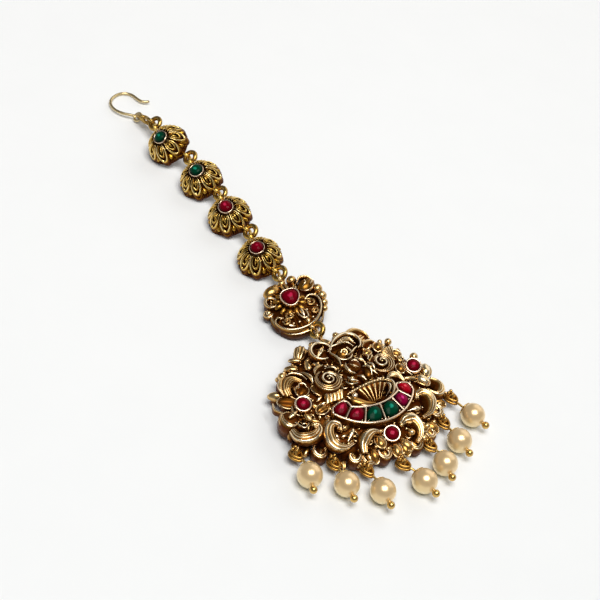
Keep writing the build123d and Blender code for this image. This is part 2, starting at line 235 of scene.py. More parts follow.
def shade(parts, depth, reach, weight):
    # the highest level over each small cell is averaged over its neighbours; what lies below that average
    # is recessed and darkened as patina and painted shade: wearAndShading·(1 - weight·below/depth)
    cell = 0.14
    cloud = np.vstack([p["points"] for p in parts])
    low = cloud.min(0)
    size = np.ceil((cloud.max(0) - low)[:2] / cell).astype(int) + 2 * reach + 3
    spots = ((cloud[:, :2] - low[:2]) / cell).astype(int) + reach + 1
    top = np.full(size, -1e3)
    np.maximum.at(top, (spots[:, 0], spots[:, 1]), cloud[:, 2])
    for _ in range(2):
        spread = np.maximum.reduce([np.roll(top, s, a) for a in (0, 1) for s in (-1, 1)])
        top = np.where(top < -100, spread, top)
    top = np.where(top < -100, low[2], top)
    half = reach // 2
    for _ in range(3):
        for axis in (0, 1):
            total = np.cumsum(top, axis)
            lead = np.roll(total, -half, axis)
            trail = np.roll(total, half + 1, axis)
            top = np.clip((lead - trail) / (2 * half + 1), low[2], cloud[:, 2].max())
    for part in parts:
        at = ((part["points"][:, :2] - low[:2]) / cell).astype(int) + reach + 1
        below = (top[at[:, 0], at[:, 1]] - part["points"][:, 2]) / depth
        # points in the hollows darken: patina and painted shade
        part["wearAndShading"] = np.clip(part["wearAndShading"] * (1 - weight * np.clip(below, 0, 1)), 0, 1)
    return parts


# Pieces. Each is one mesh that rides on the root.

levels = dict(lowest=0.01, highest=8.45)      # every piece stays between these


def placed(name, data):
    # a new object in the scene
    thing = bpy.data.objects.new(name, data)
    bpy.context.scene.collection.objects.link(thing)
    return thing


def makePiece(name, parts, material, replaced=()):
    # joins the shells into one mesh in metres
    counts = np.cumsum([0] + [len(p["points"]) for p in parts])
    points = np.vstack([p["points"] for p in parts])
    points[:, 2] = np.clip(points[:, 2], levels["lowest"], levels["highest"])
    points = points * mm
    quads = np.vstack([p["quads"] + n for p, n in zip(parts, counts)])
    tris = np.vstack([p["tris"] + n for p, n in zip(parts, counts)])
    mesh = bpy.data.meshes.new(name)
    mesh.vertices.add(len(points))
    mesh.vertices.foreach_set("co", points.astype(np.float32).ravel())
    corners = np.concatenate([quads.ravel(), tris.ravel()]).astype(np.int32)
    mesh.loops.add(len(corners))
    mesh.loops.foreach_set("vertex_index", corners)
    starts = np.concatenate([4 * np.arange(len(quads)), 4 * len(quads) + 3 * np.arange(len(tris))])
    mesh.polygons.add(len(starts))
    mesh.polygons.foreach_set("loop_start", starts.astype(np.int32))
    mesh.polygons.foreach_set("use_smooth", np.ones(len(starts), bool))
    mesh.update(calc_edges=True)
    for key in ("wearAndShading", "pale"):
        values = np.concatenate([p[key] for p in parts]).astype(np.float32)
        mesh.attributes.new(key, "FLOAT", "POINT").data.foreach_set("value", values)
    mesh.validate()
    mesh.materials.append(material)
    piece = placed(name, mesh)
    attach(piece, "root")
    if replaced:
        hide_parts(*replaced)
    print(f"{name}: {2 * len(quads) + len(tris)} triangles")


# Finishes. Colours are linear, noise scales are per metre.

def newMaterial(name):
    material = bpy.data.materials.new(name)
    material.use_nodes = True
    tree = material.node_tree
    return material, tree, tree.nodes["Principled BSDF"]


def setInputs(node, values):
    for name, value in values.items():
        node.inputs[name].default_value = value


def ramp(tree, source, stops):
    # a colour, or a grey given as one number, for each level of the source
    node = tree.nodes.new("ShaderNodeValToRGB")
    elements = node.color_ramp.elements
    for k, (level, colour) in enumerate(stops):
        element = elements[k] if k < 2 else elements.new(level)
        element.position = level
        element.color = (*np.broadcast_to(colour, 3), 1.0)
    tree.links.new(source, node.inputs["Fac"])
    return node.outputs["Color"]


def noise(tree, scale, detail=4.0):
    node = tree.nodes.new("ShaderNodeTexNoise")
    setInputs(node, {"Scale": scale, "Detail": detail, "Roughness": 0.55})
    tree.links.new(tree.nodes.new("ShaderNodeTexCoord").outputs["Object"], node.inputs["Vector"])
    return node.outputs["Fac"]


def attribute(tree, name):
    node = tree.nodes.new("ShaderNodeAttribute")
    node.attribute_name = name
    return node.outputs["Fac"]


def arithmetic(tree, operation, *values, clamp=False):
    # each value is a number or another node's output
    node = tree.nodes.new("ShaderNodeMath")
    node.operation = operation
    node.use_clamp = clamp
    for socket, value in zip(node.inputs, values):
        if isinstance(value, (int, float)):
            socket.default_value = value
        else:
            tree.links.new(value, socket)
    return node.outputs[0]


def coordinate(tree, axis, space="Object"):
    # one coordinate of the point that is shaded
    node = tree.nodes.new("ShaderNodeSeparateXYZ")
    tree.links.new(tree.nodes.new("ShaderNodeTexCoord").outputs[space], node.inputs["Vector"])
    return node.outputs[axis]


def bump(tree, shader, scale, detail, strength, distance):
    # a faint relief made of noise
    node = tree.nodes.new("ShaderNodeBump")
    setInputs(node, {"Strength": strength, "Distance": distance})
    tree.links.new(noise(tree, scale, detail), node.inputs["Height"])
    tree.links.new(node.outputs["Normal"], shader.inputs["Normal"])


gold = dict(
    # recess and shadow colour the hollows and walls: patina and painted shade
    recess=(0.090, 0.018, 0.001),
    shadow=(0.185, 0.066, 0.007),
    body=(0.46, 0.245, 0.062),
    ridge=(0.74, 0.52, 0.24),
    worn=(0.91, 0.76, 0.52),
    bezel=(0.92, 0.72, 0.52),
    levels=(0.0, 0.22, 0.52, 0.84, 1.0),          # wearAndShading level at which each of the first five is met
    roughness=((0.0, 0.46), (1.0, 0.22), (0.45, 0.29)),
    metal=((0.0, 0.60), (0.30, 1.0)),
    specular=0.08,
    grain=1700.0,             # casting grain
    grainShift=0.22,
    blotch=420.0,
    blotchShift=0.34,
    relief=dict(scale=1700.0, detail=3.0, strength=0.07, distance=0.00006),
)
yellowGold = dict(recess=(0.065, 0.012, 0.0003), shadow=(0.155, 0.052, 0.001), body=(0.45, 0.238, 0.020),
                  ridge=(0.75, 0.51, 0.130), worn=(0.92, 0.75, 0.37))
medallionGold = dict(recess=(0.055, 0.012, 0.0003), shadow=(0.135, 0.045, 0.002), body=(0.46, 0.24, 0.045))
headpinGold = dict(body=(0.46, 0.25, 0.055), ridge=(0.75, 0.51, 0.17), worn=(0.92, 0.76, 0.42))


def antiqueGold(name, **tones):
    # level = wearAndShading + shift·(noise - ½) for grain and blotches; it picks a colour from dark patina
    # and painted shade to worn yellow, patina is dull, and pale points take the bezel's colour
    look = {**gold, **tones}
    material, tree, shader = newMaterial(name)
    level = attribute(tree, "wearAndShading")
    for key, detail in (("grain", 4.0), ("blotch", 3.0)):
        shift = look[key + "Shift"]
        speck = arithmetic(tree, "MULTIPLY_ADD", noise(tree, look[key], detail), shift, -shift / 2)
        level = arithmetic(tree, "ADD", level, speck, clamp=key == "blotch")
    stops = list(zip(look["levels"], (look[key] for key in ("recess", "shadow", "body", "ridge", "worn"))))
    mix = tree.nodes.new("ShaderNodeMix")
    mix.data_type = "RGBA"
    tree.links.new(attribute(tree, "pale"), mix.inputs["Factor"])
    tree.links.new(ramp(tree, level, [stops[0], stops[-1], *stops[1:-1]]), mix.inputs["A"])
    mix.inputs["B"].default_value = (*look["bezel"], 1.0)
    tree.links.new(mix.outputs["Result"], shader.inputs["Base Color"])
    tree.links.new(ramp(tree, level, look["roughness"]), shader.inputs["Roughness"])
    tree.links.new(ramp(tree, level, look["metal"]), shader.inputs["Metallic"])
    setInputs(shader, {"Specular IOR Level": look["specular"]})
    bump(tree, shader, **look["relief"])
    return material


drawnWire = dict(grain=1800.0, detail=5.0, dull=1.25, smooth=0.8,
                 relief=dict(scale=3060.0, detail=4.0, strength=0.2, distance=0.00004))


def wireGold(name, low, high, roughness):
    # plain drawn wire: two golds mixed by a fine noise, the lighter one smoother
    material, tree, shader = newMaterial(name)
    look = drawnWire
    speck = noise(tree, look["grain"], look["detail"])
    for socket, values in (("Base Color", (low, high)),
                           ("Roughness", (roughness * look["dull"], roughness * look["smooth"]))):
        tree.links.new(ramp(tree, speck, list(zip((0.3, 0.7), values))), shader.inputs[socket])
    setInputs(shader, {"Metallic": 1.0})
    bump(tree, shader, **look["relief"])
    return material


cutStone = dict(
    clouds=700.0,
    clear=0.75,               # level without any cloud
    cloud=0.5,
    levels=(0.10, 1.0, 0.60, 0.90),         # painted edge shade, painted highlight, bright tone twice
    shader={"Roughness": 0.13, "IOR": 1.50, "Specular IOR Level": 0.04},
    relief=dict(scale=900.0, detail=2.0, strength=0.04, distance=0.0001),
)


def gem(name, deep, bright, paintedHighlight):
    # level = wearAndShading·(clear + cloud·noise): dark at the edge as painted shade, brighter towards
    # the middle, and a painted highlight in the heart
    material, tree, shader = newMaterial(name)
    look = cutStone
    cloud = arithmetic(tree, "MULTIPLY_ADD", noise(tree, look["clouds"], 3.0), look["cloud"], look["clear"])
    level = arithmetic(tree, "MULTIPLY", attribute(tree, "wearAndShading"), cloud, clamp=True)
    colour = ramp(tree, level, list(zip(look["levels"], (deep, paintedHighlight, bright, bright))))
    tree.links.new(colour, shader.inputs["Base Color"])
    setInputs(shader, look["shader"])
    bump(tree, shader, **look["relief"])
    return material


pearlLook = dict(
    # the pale yellow low down is a painted reflection of the floor
    tones=((0.25, (0.93, 0.79, 0.44)), (0.60, (0.86, 0.66, 0.33)), (0.95, (0.79, 0.565, 0.29))),
    rise=190.0,               # levels per metre of height, for the painted floor reflection
    clouds=240.0,
    cloud=0.35,
    shader={"Roughness": 0.30, "Metallic": 0.50, "Specular IOR Level": 0.6, "Coat Weight": 0.8,
            "Coat Roughness": 0.24, "Sheen Weight": 0.80, "Sheen Roughness": 0.35,
            "Sheen Tint": (1.0, 0.88, 0.55, 1.0)},
    relief=dict(scale=1500.0, detail=3.0, strength=0.05, distance=0.00005),
)


def pearlFinish(name):
    # level = cloud·noise + rise·height: rosy above, paler and yellower towards the side it lies on,
    # as a painted reflection of the floor
    material, tree, shader = newMaterial(name)
    look = pearlLook
    cloud = arithmetic(tree, "MULTIPLY", noise(tree, look["clouds"]), look["cloud"])
    height = arithmetic(tree, "MULTIPLY", coordinate(tree, "Z"), look["rise"])
    colour = ramp(tree, arithmetic(tree, "ADD", cloud, height, clamp=True), look["tones"])
    tree.links.new(colour, shader.inputs["Base Color"])
    setInputs(shader, look["shader"])
    bump(tree, shader, **look["relief"])
    return material


oldGold = antiqueGold("antique gold")
ringGold = wireGold("ring gold", (0.27, 0.15, 0.03), (0.56, 0.37, 0.10), 0.24)
chainGold = antiqueGold("chain gold", **yellowGold)
medalGold = antiqueGold("medallion gold", **medallionGold)
pinGold = antiqueGold("pin gold", **headpinGold)
hookGold = wireGold("pale gold", (0.56, 0.42, 0.20), (0.78, 0.64, 0.36), 0.30)
# the last colour of each stone is its painted highlight
rubyGem = gem("ruby", (0.060, 0.0002, 0.002), (0.15, 0.0006, 0.007), (0.50, 0.020, 0.07))
roseGem = gem("rose ruby", (0.050, 0.0003, 0.006), (0.20, 0.001, 0.030), (0.70, 0.035, 0.26))
scarletGem = gem("scarlet ruby", (0.10, 0.0002, 0.002), (0.32, 0.001, 0.008), (0.85, 0.09, 0.12))
emeraldGem = gem("emerald", (0.0002, 0.010, 0.004), (0.0006, 0.040, 0.018), (0.012, 0.26, 0.17))
pearlSkin = pearlFinish("pearl")
print("finishes made")


# Chain. Rings, oval ring, hook and pearls keep their own shape and take their finish.

def centreOf(node):
    low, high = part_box(node)
    return (np.array(low) + np.array(high)) / 2 / mm


plainFinishes = dict(link_ring=ringGold, hook_ring=ringGold, pearl=pearlSkin, hair_hook=hookGold)
for node in sorted(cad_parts):
    for start, finish in plainFinishes.items():
        if node.startswith(start):
            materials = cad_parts[node].data.materials
            materials.clear()
            materials.append(finish)

chain = dict(
    lean=45.0,                # the rings' planes lean this far from the table
    ringRadius=1.42,
    loopRadius=0.98,
    loopWire=0.36,
    loopAngle=105.0,
    tailWire=0.3,
    tailBow=0.15,
)


def linkLoop(ringCentre, side, anchor):
    # a soldered loop through a ring, with its tail running to an anchor on the body
    lean, turn = radians(chain["lean"]), radians(chain["loopAngle"])
    up = np.array([np.cos(lean), 0, np.sin(lean)])
    along = np.array([0.0, side, 0.0])
    outward = up * np.cos(turn) + along * np.sin(turn)
    tangent = along * np.cos(turn) - up * np.sin(turn)
    middle = ringCentre + outward * chain["ringRadius"]
    start = middle + outward * chain["loopRadius"]
    tail = curve([start, (start + anchor) / 2 + (0, 0, chain["tailBow"]), anchor], 14)
    return [ring(middle, tangent, chain["loopRadius"], chain["loopWire"], wearAndShading=0.75, count=36),
            wire(tail, chain["tailWire"], (0.3, 0.1, 1), wearAndShading=0.6)]


# the oval ring's two strands are bound by a few turns of wire
binding = dict(eye=(-2.0, 100.5, 1.35), eyeGrip=1.02, hang=20.0, wide=1.57, high=0.62, wire=0.27, turns=4.0,
               length=2.1)


def bindingTurns():
    # point = middle + run·s + across·wide·cos t + square·high·sin t, with s growing by the turn
    b, lean = binding, radians(chain["lean"])
    up = np.array([np.cos(lean), 0, np.sin(lean)])
    pull = np.array([0, np.cos(radians(b["hang"])), 0]) - up * np.sin(radians(b["hang"]))
    grip = centreOf("link_ring_0") + pull * chain["ringRadius"]
    run = unit(np.array(b["eye"]) - pull * b["eyeGrip"] - grip)
    across = unit(np.cross(run, up))
    square = np.cross(run, across)
    t = np.linspace(0, 2 * np.pi * b["turns"], 150)[:, None]
    s = b["length"] * (t / t[-1] - 0.5)
    path = centreOf("hook_ring") + run * s + across * b["wide"] * np.cos(t) + square * b["high"] * np.sin(t)
    return [wire(path, b["wire"], run, wearAndShading=0.55, cols=10)]


makePiece("hookBinding", bindingTurns(), ringGold)

# Flowers of the chain.

flower = dict(
    rolls={1: 40.5, 2: 27.0, 3: 24.2, 4: 20.6},
    body=((0.01, 0.0), (4.2, 0.0), (4.55, 0.25), (4.7, 0.6), (4.6, 1.2), (4.1, 2.3), (3.4, 3.15),
          (2.6, 3.75), (1.9, 4.0), (1.0, 4.05), (0.01, 4.05)),
    domeRadii=(0.0, 1.9, 2.6, 3.4, 4.1, 4.6, 5.0),          # the petals' ground falls outwards
    domeLevels=(4.35, 4.35, 4.1, 3.55, 2.65, 1.6, 0.6),
    petals=8,
    firstPetal=10.0,
    beads=((58, 4.80, 1.05, 0.20), (58, 4.86, 0.62, 0.21)),       # count, radius, level, size
    patch=(146, 222),                                       # azimuths of a hatched patch on the lower side
    shade=dict(depth=0.62, reach=5, weight=0.95),
    stoneLevel=5.075,                                       # middle of the stone above the flower's back
    stoneRadius=1.46,
    stoneTop=6.1,
    stoneLengths={1: 1.05, 2: 1.12, 3: 1.18, 4: 1.05},      # along the chain, over the stone's width
    bezelRadius=1.68,
    bezelSteps=(-0.48, 0.38, 0.32, 0.10, 0.06, 0.06, 0.0, -0.08, -0.15, -0.19, -0.21, -0.5),
    bezelLevels=(3.4, 3.4, 3.9, 4.3, 4.9, 5.12, 5.24, 5.28, 5.22, 5.05, 4.4, 4.2),
    # along the bezel's profile: dark at the foot, bright on the lip, as wear, patina and painted shade
    bezelWearAndShading=(0, 0.2, 0.35, 0.3, 0.5, 0.9, 1, 1, 0.9, 0.3, 0.0, 0.0),
)


def slab(top, foot, wearAndShading):
    # a surface closed by a flat underside at the foot's level: columns run over the top and back below
    under = top[:, ::-1].copy()
    under[..., 2] = foot
    wearAndShading = np.broadcast_to(wearAndShading, top.shape[:2])
    return shell(np.hstack([top, under]), np.hstack([wearAndShading, np.full(wearAndShading.shape, 0.04)]))


def fan(root, rim, bulge, foot, flutes, rows=22, cols=90, deep=0.6, dark=0.05, sharp=2.0, bright=1.0):
    # point = root + (rim - root)·v, lifted by bulge·sin(0.62πv)^0.6 and cut by flutes:
    # deep·(1 - |sin(π·flutes·u)|^0.8)
    u = np.linspace(0, 1, cols)[None]
    v = np.linspace(0.06, 1, rows)[:, None]
    edge = curve(rim, cols)[None]
    start = curve(root, cols)[None]
    rib = np.abs(np.sin(np.pi * flutes * u)) ** 0.8
    points = start + (edge - start) * v[..., None]
    points[..., 2] += bulge * np.sin(np.pi * v * 0.62) ** 0.6
    points[..., 2] -= deep * (1 - rib) * np.sin(np.pi * np.clip(v * 0.9 + 0.08, 0, 1))
    return slab(points, foot, bright * np.clip(dark + (1 - dark) * rib**sharp * (0.55 + 0.45 * v), 0, 1))


def flowerDome(r):
    # level of the petals' ground at a distance from the middle
    return np.interp(r, flower["domeRadii"], flower["domeLevels"])


def onDome(points, azimuth, lift=0.0):
    # (along, across) pairs turned to an azimuth and laid on the dome
    along, across = points[:, 0], points[:, 1]
    return swung(along, across, azimuth, flowerDome(np.hypot(along, across)) + lift)


def arch(count, half, middle, reach, spread):
    # an arc that bulges outwards: along = middle + reach·cos t, across = spread·sin t, t within ±half
    t = np.radians(np.linspace(-half, half, count))
    return np.stack([middle + reach * np.cos(t), spread(t) * np.sin(t)], -1), t


def flowerParts(seed, length):
    # a domed body with petals of outlined arches and two flames each, buds between them, a beaded edge,
    # a hatched patch and a bezel drawn out along the chain
    luck = np.random.default_rng(seed)
    f = flower
    parts = [lathe(f["body"], cols=64, wearAndShading=0.05)]
    for k in range(f["petals"]):
        azimuth = f["firstPetal"] + 360 / f["petals"] * k + luck.uniform(-3, 3)
        size = luck.uniform(0.94, 1.05)
        outer, t = arch(44, 152, 3.38, 1.44 * size, lambda t: 1.34 * size * (0.80 + 0.20 * np.cos(t)))
        inner, _ = arch(44, 152, 3.30, 0.98 * size, lambda t: 0.804 * size * (0.80 + 0.20 * np.cos(t)))
        under, _ = arch(24, 75, 3.66, 1.34, lambda t: 1.38)
        curl = 0.42 + 0.25 * np.cos(t / 2) ** 6
        along = swell(44, 0.15, 0.15, power=0.5)
        parts += [ribbed(onDome(outer, azimuth, curl), along * 0.29, 0.38, 1, 0.85, bright=0.9),
                  ribbed(onDome(inner, azimuth, 0.12 + curl), along * 0.17, 0.3, 1, 0.7, cols=9, bright=0.75),
                  ribbed(onDome(under, azimuth, 0.12), swell(24, 0.3, 0.3) * 0.24, 0.26, 1, 0.7, bright=0.6)]
        for across, reach, start in ((0.0, 0.86, 2.2), (0.5 * luck.choice([-1, 1]), 0.55, 2.4)):
            v = np.linspace(0, 1, 16)
            sway = across * np.sin(np.pi * (0.25 + 0.6 * v)) + 0.08 * np.sin(5 * v + k)
            flame = onDome(np.stack([start + reach * 1.9 * v, sway], -1), azimuth, 0.30)
            parts.append(ribbed(flame, swell(16, 0.25, 0.1, 0.55) * 0.25, swell(16, 0.4, 0.3) * 0.42, 1, 0.4,
                                bright=0.6))
        azimuth += 180 / f["petals"]
        low, high = (onDome(np.array([[r, 0.0]]), azimuth, lift)[0] for r, lift in ((4.12, -0.35), (3.0, 0.1)))
        parts.append(bud(low, 0.95, 0.72, 0.85, azimuth, ribs=6, point=0.3, lean=-0.35, bright=0.65))
        parts.append(ball(high, 0.24, wearAndShading=0.8, rows=8, cols=12))
    for row, (count, radius, level, size) in enumerate(f["beads"]):
        spots = polar(radius, 2 * np.pi * (np.arange(count) + 0.5 * row) / count, level)
        parts += [ball(spot, size, rows=5, cols=8, wearAndShading=0.85) for spot in spots]
    parts.append(ring((0, 0, 0.22), (0, 0, 1), 4.6, 0.2, wearAndShading=0.7, count=72, cols=8))
    root, edge = (polar(r, np.radians(np.linspace(*f["patch"], 7)), flowerDome(r) + 0.35) for r in (3.3, 4.6))
    parts.append(fan(root, edge, 0.1, 0.2, 13, rows=10, cols=118, deep=0.16, dark=0.35))
    steps = np.array(f["bezelSteps"]) + f["bezelRadius"]
    part = lathe(np.stack([steps, f["bezelLevels"]], -1), cols=56, wearAndShading=f["bezelWearAndShading"])
    part["pale"] = np.clip((part["points"][:, 2] - 4.75) / 0.35, 0, 1)
    part["points"][:, 1] *= length
    return parts + [part]


def cabochon(radius, floor, girdle, top):
    # a plain round stone: flat below, straight girdle, and level = girdle + (top - girdle)·(1 - r²)^0.55
    r = np.sin(np.linspace(0.02, 1, 18) * np.pi / 2)[::-1]
    profile = np.stack([radius * r, girdle + (top - girdle) * (1 - r**2) ** 0.55], -1)
    # wearAndShading runs from 0 at the edge to 1 in the middle: painted shade to painted highlight
    wearAndShading = np.concatenate([[0, 0], 1 - r**2, [1]])
    return lathe(np.vstack([[0.01, floor], [radius * 0.93, floor], profile, [0.004, top]]), cols=56, wearAndShading=wearAndShading)


def rollFrame(origin, roll):
    # a frame rolled about Y, with its back at the origin
    a = radians(roll)
    turned = np.eye(4)
    turned[:3, 0] = (np.cos(a), 0, np.sin(a))
    turned[:3, 2] = (-np.sin(a), 0, np.cos(a))
    turned[:3, 3] = origin
    return turned


for number, roll in flower["rolls"].items():
    outward = rollFrame((0, 0, 0), roll)[:3, 2]
    origin = centreOf(f"flower_stone_{number}") - outward * flower["stoneLevel"]
    place = rollFrame(origin, roll)
    length = flower["stoneLengths"][number]
    parts = [moved(p, place) for p in shade(flowerParts(20 + number, length), **flower["shade"])]
    for side, ringNumber in ((-1, number - 1), (1, number)):
        anchor = origin + np.array([0, -side * 3.5, 0]) + outward * 0.8
        parts += linkLoop(centreOf(f"link_ring_{ringNumber}"), side, anchor)
    makePiece(f"flower{number}", parts, chainGold, [f"flower_{number}"])
    part = cabochon(flower["stoneRadius"], 4.3, 5.1, flower["stoneTop"])
    part["points"][:, 1] *= length
    finish, slotName = (emeraldGem, "emerald") if number < 3 else (rubyGem, "ruby")
    makePiece(f"flowerStone{number}", [moved(part, place)], finish, [f"flower_stone_{number}"])


# Small shapes of the medallion's and the pendant's ornament.

def band(points, width, height, ribs=3, foot=2.2, ends=(0.3, 0.22), peak=0.5, count=44, groove=0.42,
         bright=1.0, fall=0.0):
    # a ribbed leaf along a smooth line, wide at its peak and narrow at its ends; with fall, it turns down
    # outwards: its normal is (fall·x, fall·y, 1)
    centre = curve(points, count)
    along = swell(count, *ends, peak)
    normal = unit(np.stack([fall * centre[:, 0], fall * centre[:, 1], np.ones(count)], -1))
    turn = np.diff(centre[:, :2], axis=0)
    hollow = np.sign(np.sum(turn[:-1, 0] * turn[1:, 1] - turn[:-1, 1] * turn[1:, 0])) or 1.0
    return ribbed(centre, along * width, (0.4 + 0.6 * along) * height, ribs, foot, groove, normal,
                  12 * ribs + 3, bright, roundness=0.42, crest=1.3, gather=1.7, hollow=hollow, flat=2.6)


def petal(x, y, z, length, width, height, azimuth, bright=0.5, ribs=0):
    # a cupped petal, smooth or ribbed lengthwise, with a thin raised edge round it
    body = bud((x, y, z), length, width, height, azimuth, ribs, bright, 0.10, rows=16, cols=6 * ribs or 24)
    t = around(36)
    side = width * 1.05 * np.sin(t) * (1 - 0.05 * (1 + np.cos(t)))
    level = 0.25 * height * np.abs(np.sin(t)) + 0.15
    edge = swung(length * 1.02 * np.cos(t), side, azimuth, level) + (x, y, z)
    return [body, wire(edge, 0.17, loop=True, wearAndShading=0.9, cols=8)]


def ridge(points, width=0.27, height=0.35, foot=0.9, ends=(0.6, 0.5), count=40, bright=1.0):
    # one thin raised line
    return band(points, width, height, 1, foot, ends, 0.5, count, bright=bright)


def domeCap(x, y, radius, base, top, wearAndShading=0.4, cols=36):
    # level = base + (top - base)·(1 - r²)^½ over a round foot
    r = np.sin(np.linspace(0.03, 1, 14) * np.pi / 2)[::-1]
    profile = np.stack([radius * r, base + (top - base) * (1 - r**2) ** 0.5], -1)
    profile = np.vstack([[0.01, 0.9], [radius * 0.9, 0.9], [radius, min(base, 1.6)], profile, [0.005, top]])
    return lathe(profile, (x, y, 0), cols, wearAndShading)


def volute(x, y, z, radius, start, way=1, coils=1.35):
    # a broad ribbed leaf that sweeps nearly all the way round, a coil inside it and a small button
    turn = start + way * 330
    outer = spiral(x, y, radius * 0.90, radius * 0.58, start, turn, z - 0.75, z - 0.15, count=64)
    width = swell(64, 0.22, 0.3, 0.45) * radius * 0.30
    coil = start + way * 264
    inside = spiral(x, y, radius * 0.56, radius * 0.14, coil, coil + way * 360 * coils, z - 0.15, z + 0.15,
                    count=56)
    return [ribbed(outer, width, 0.30 + 0.35 * width, 3, 2.6, groove=0.55),
            ribbed(inside, np.linspace(0.26, 0.16, 56), 0.34, 1, 1.0),
            ball((x, y, z + 0.1), 0.24, rows=8, cols=12),
            domeCap(x, y, radius * 0.8, z - 2.2, z - 0.75, wearAndShading=0.10)]


def collet(x, y, radius, rim, bore, shape=None):
    # a straight cup whose rim is rolled over the stone's edge; its lip is pale
    profile = [(0.02, 1.0), (radius + 0.14, 1.0), (radius + 0.06, 2.1), (radius - 0.04, rim - 0.9),
               (radius, rim - 0.25), (radius - 0.04, rim + 0.02), (radius - 0.14, rim + 0.10),
               (bore + 0.02, rim + 0.02), (bore - 0.03, rim - 0.3), (bore - 0.02, rim - 1.0),
               (0.02, rim - 1.0)]
    part = lathe(profile, cols=56, wearAndShading=[0.05, 0.12, 0.2, 0.3, 0.6, 1, 1, 0.9, 0.3, 0.0, 0.0])
    part["pale"] = np.clip((part["points"][:, 2] - rim + 0.55) / 0.4, 0, 1)
    if shape is not None:
        part["points"] = shape(part["points"])
    part["points"][:, :2] += (x, y)
    return part


def leaned(x, y, level, slope):
    # a turn about a level line through a point, by which a stone leans towards the pendant's front
    pivot = Matrix.Translation((x, y, level))
    return pivot @ Matrix.Rotation(radians(slope), 4, (0.762, -0.647, 0)) @ pivot.inverted()


# Medallion.

medallion = dict(
    centre=(1.13, 27.3),
    radius=6.9,
    roll=10.0,
    body=((0.02, 0.05), (5.3, 0.0), (6.0, 0.25), (6.35, 0.9), (6.2, 1.5), (5.6, 1.9), (4.5, 2.0), (3.4, 2.5),
          (2.5, 3.1), (0.02, 3.4)),
    scallops=9,
    shade=dict(depth=1.1, reach=6, weight=0.95),
    stone=(-1.1, 0.1),
    stoneSlope=13.0,
    colletRadius=2.14,
    wall=0.32,
    rim=5.3,
    tip=-102.0,               # the rounded triangle of the stone points this way
    tipSize=0.065,
)
# the bowl's edge and lip; in its hollow curls (x, y, radius, azimuth, way) and seeds (x, y, radius)
bowl = [(-4.3, -2.7, 2.3), (-5.4, -2.2, 2.6), (-6.3, -2.9, 2.6), (-6.3, -4.1, 2.6), (-5.5, -5.5, 2.6),
        (-4.0, -6.6, 2.6), (-1.9, -7.1, 2.65), (0.5, -6.9, 2.75), (2.7, -5.7, 2.9), (4.2, -4.0, 3.05),
        (4.8, -2.1, 3.2), (4.2, -0.7, 3.3), (3.0, -0.35, 3.25), (2.2, -0.9, 3.0)]
bowlLip = [(-6.1, -4.9, 1.3), (-4.7, -6.6, 1.3), (-2.4, -7.5, 1.4), (0.3, -7.5, 1.5), (3.0, -6.4, 1.6),
           (4.9, -4.2, 1.7)]
bowlCurls = [(-2.9, -3.3, 1.15, 40, 1), (2.6, -2.0, 1.2, 100, -1), (2.3, -4.4, 0.85, 60, -1),
             (-4.3, -4.2, 0.75, 200, 1)]
bowlSeeds = [(-1.9, -5.4, 0.34), (-3.2, -5.2, 0.3), (1.3, -5.6, 0.3), (3.7, -3.3, 0.28), (-1.7, -2.7, 0.28),
             (1.2, -3.2, 0.3), (-4.9, -2.8, 0.32), (1.1, -2.1, 0.26)]
leftSeeds = [(-4.5, 1.3, 0.36), (-4.2, 2.7, 0.3), (-6.3, 0.1, 0.62), (-3.4, 0.6, 0.3)]
rightSeeds = [(6.5, 1.4, 1.15), (6.4, -0.7, 1.1), (5.8, -2.6, 0.9), (5.1, -4.1, 0.7), (0.4, 6.4, 0.85),
              (-1.3, 6.1, 0.75), (2.3, 1.1, 0.4), (5.2, 0.3, 0.5)]


def triangular(points):
    # each radius grows by tipSize·cos 3(angle - tip)
    points = points.copy()
    angle = np.arctan2(points[:, 1], points[:, 0]) - radians(medallion["tip"])
    points[:, :2] *= (1 + medallion["tipSize"] * np.cos(3 * angle) + 0.03 * np.cos(angle))[:, None]
    return points


colletTilt = (Matrix.Translation((*medallion["stone"], 0))
              @ leaned(0, 0, medallion["rim"] - 0.6, medallion["stoneSlope"]))


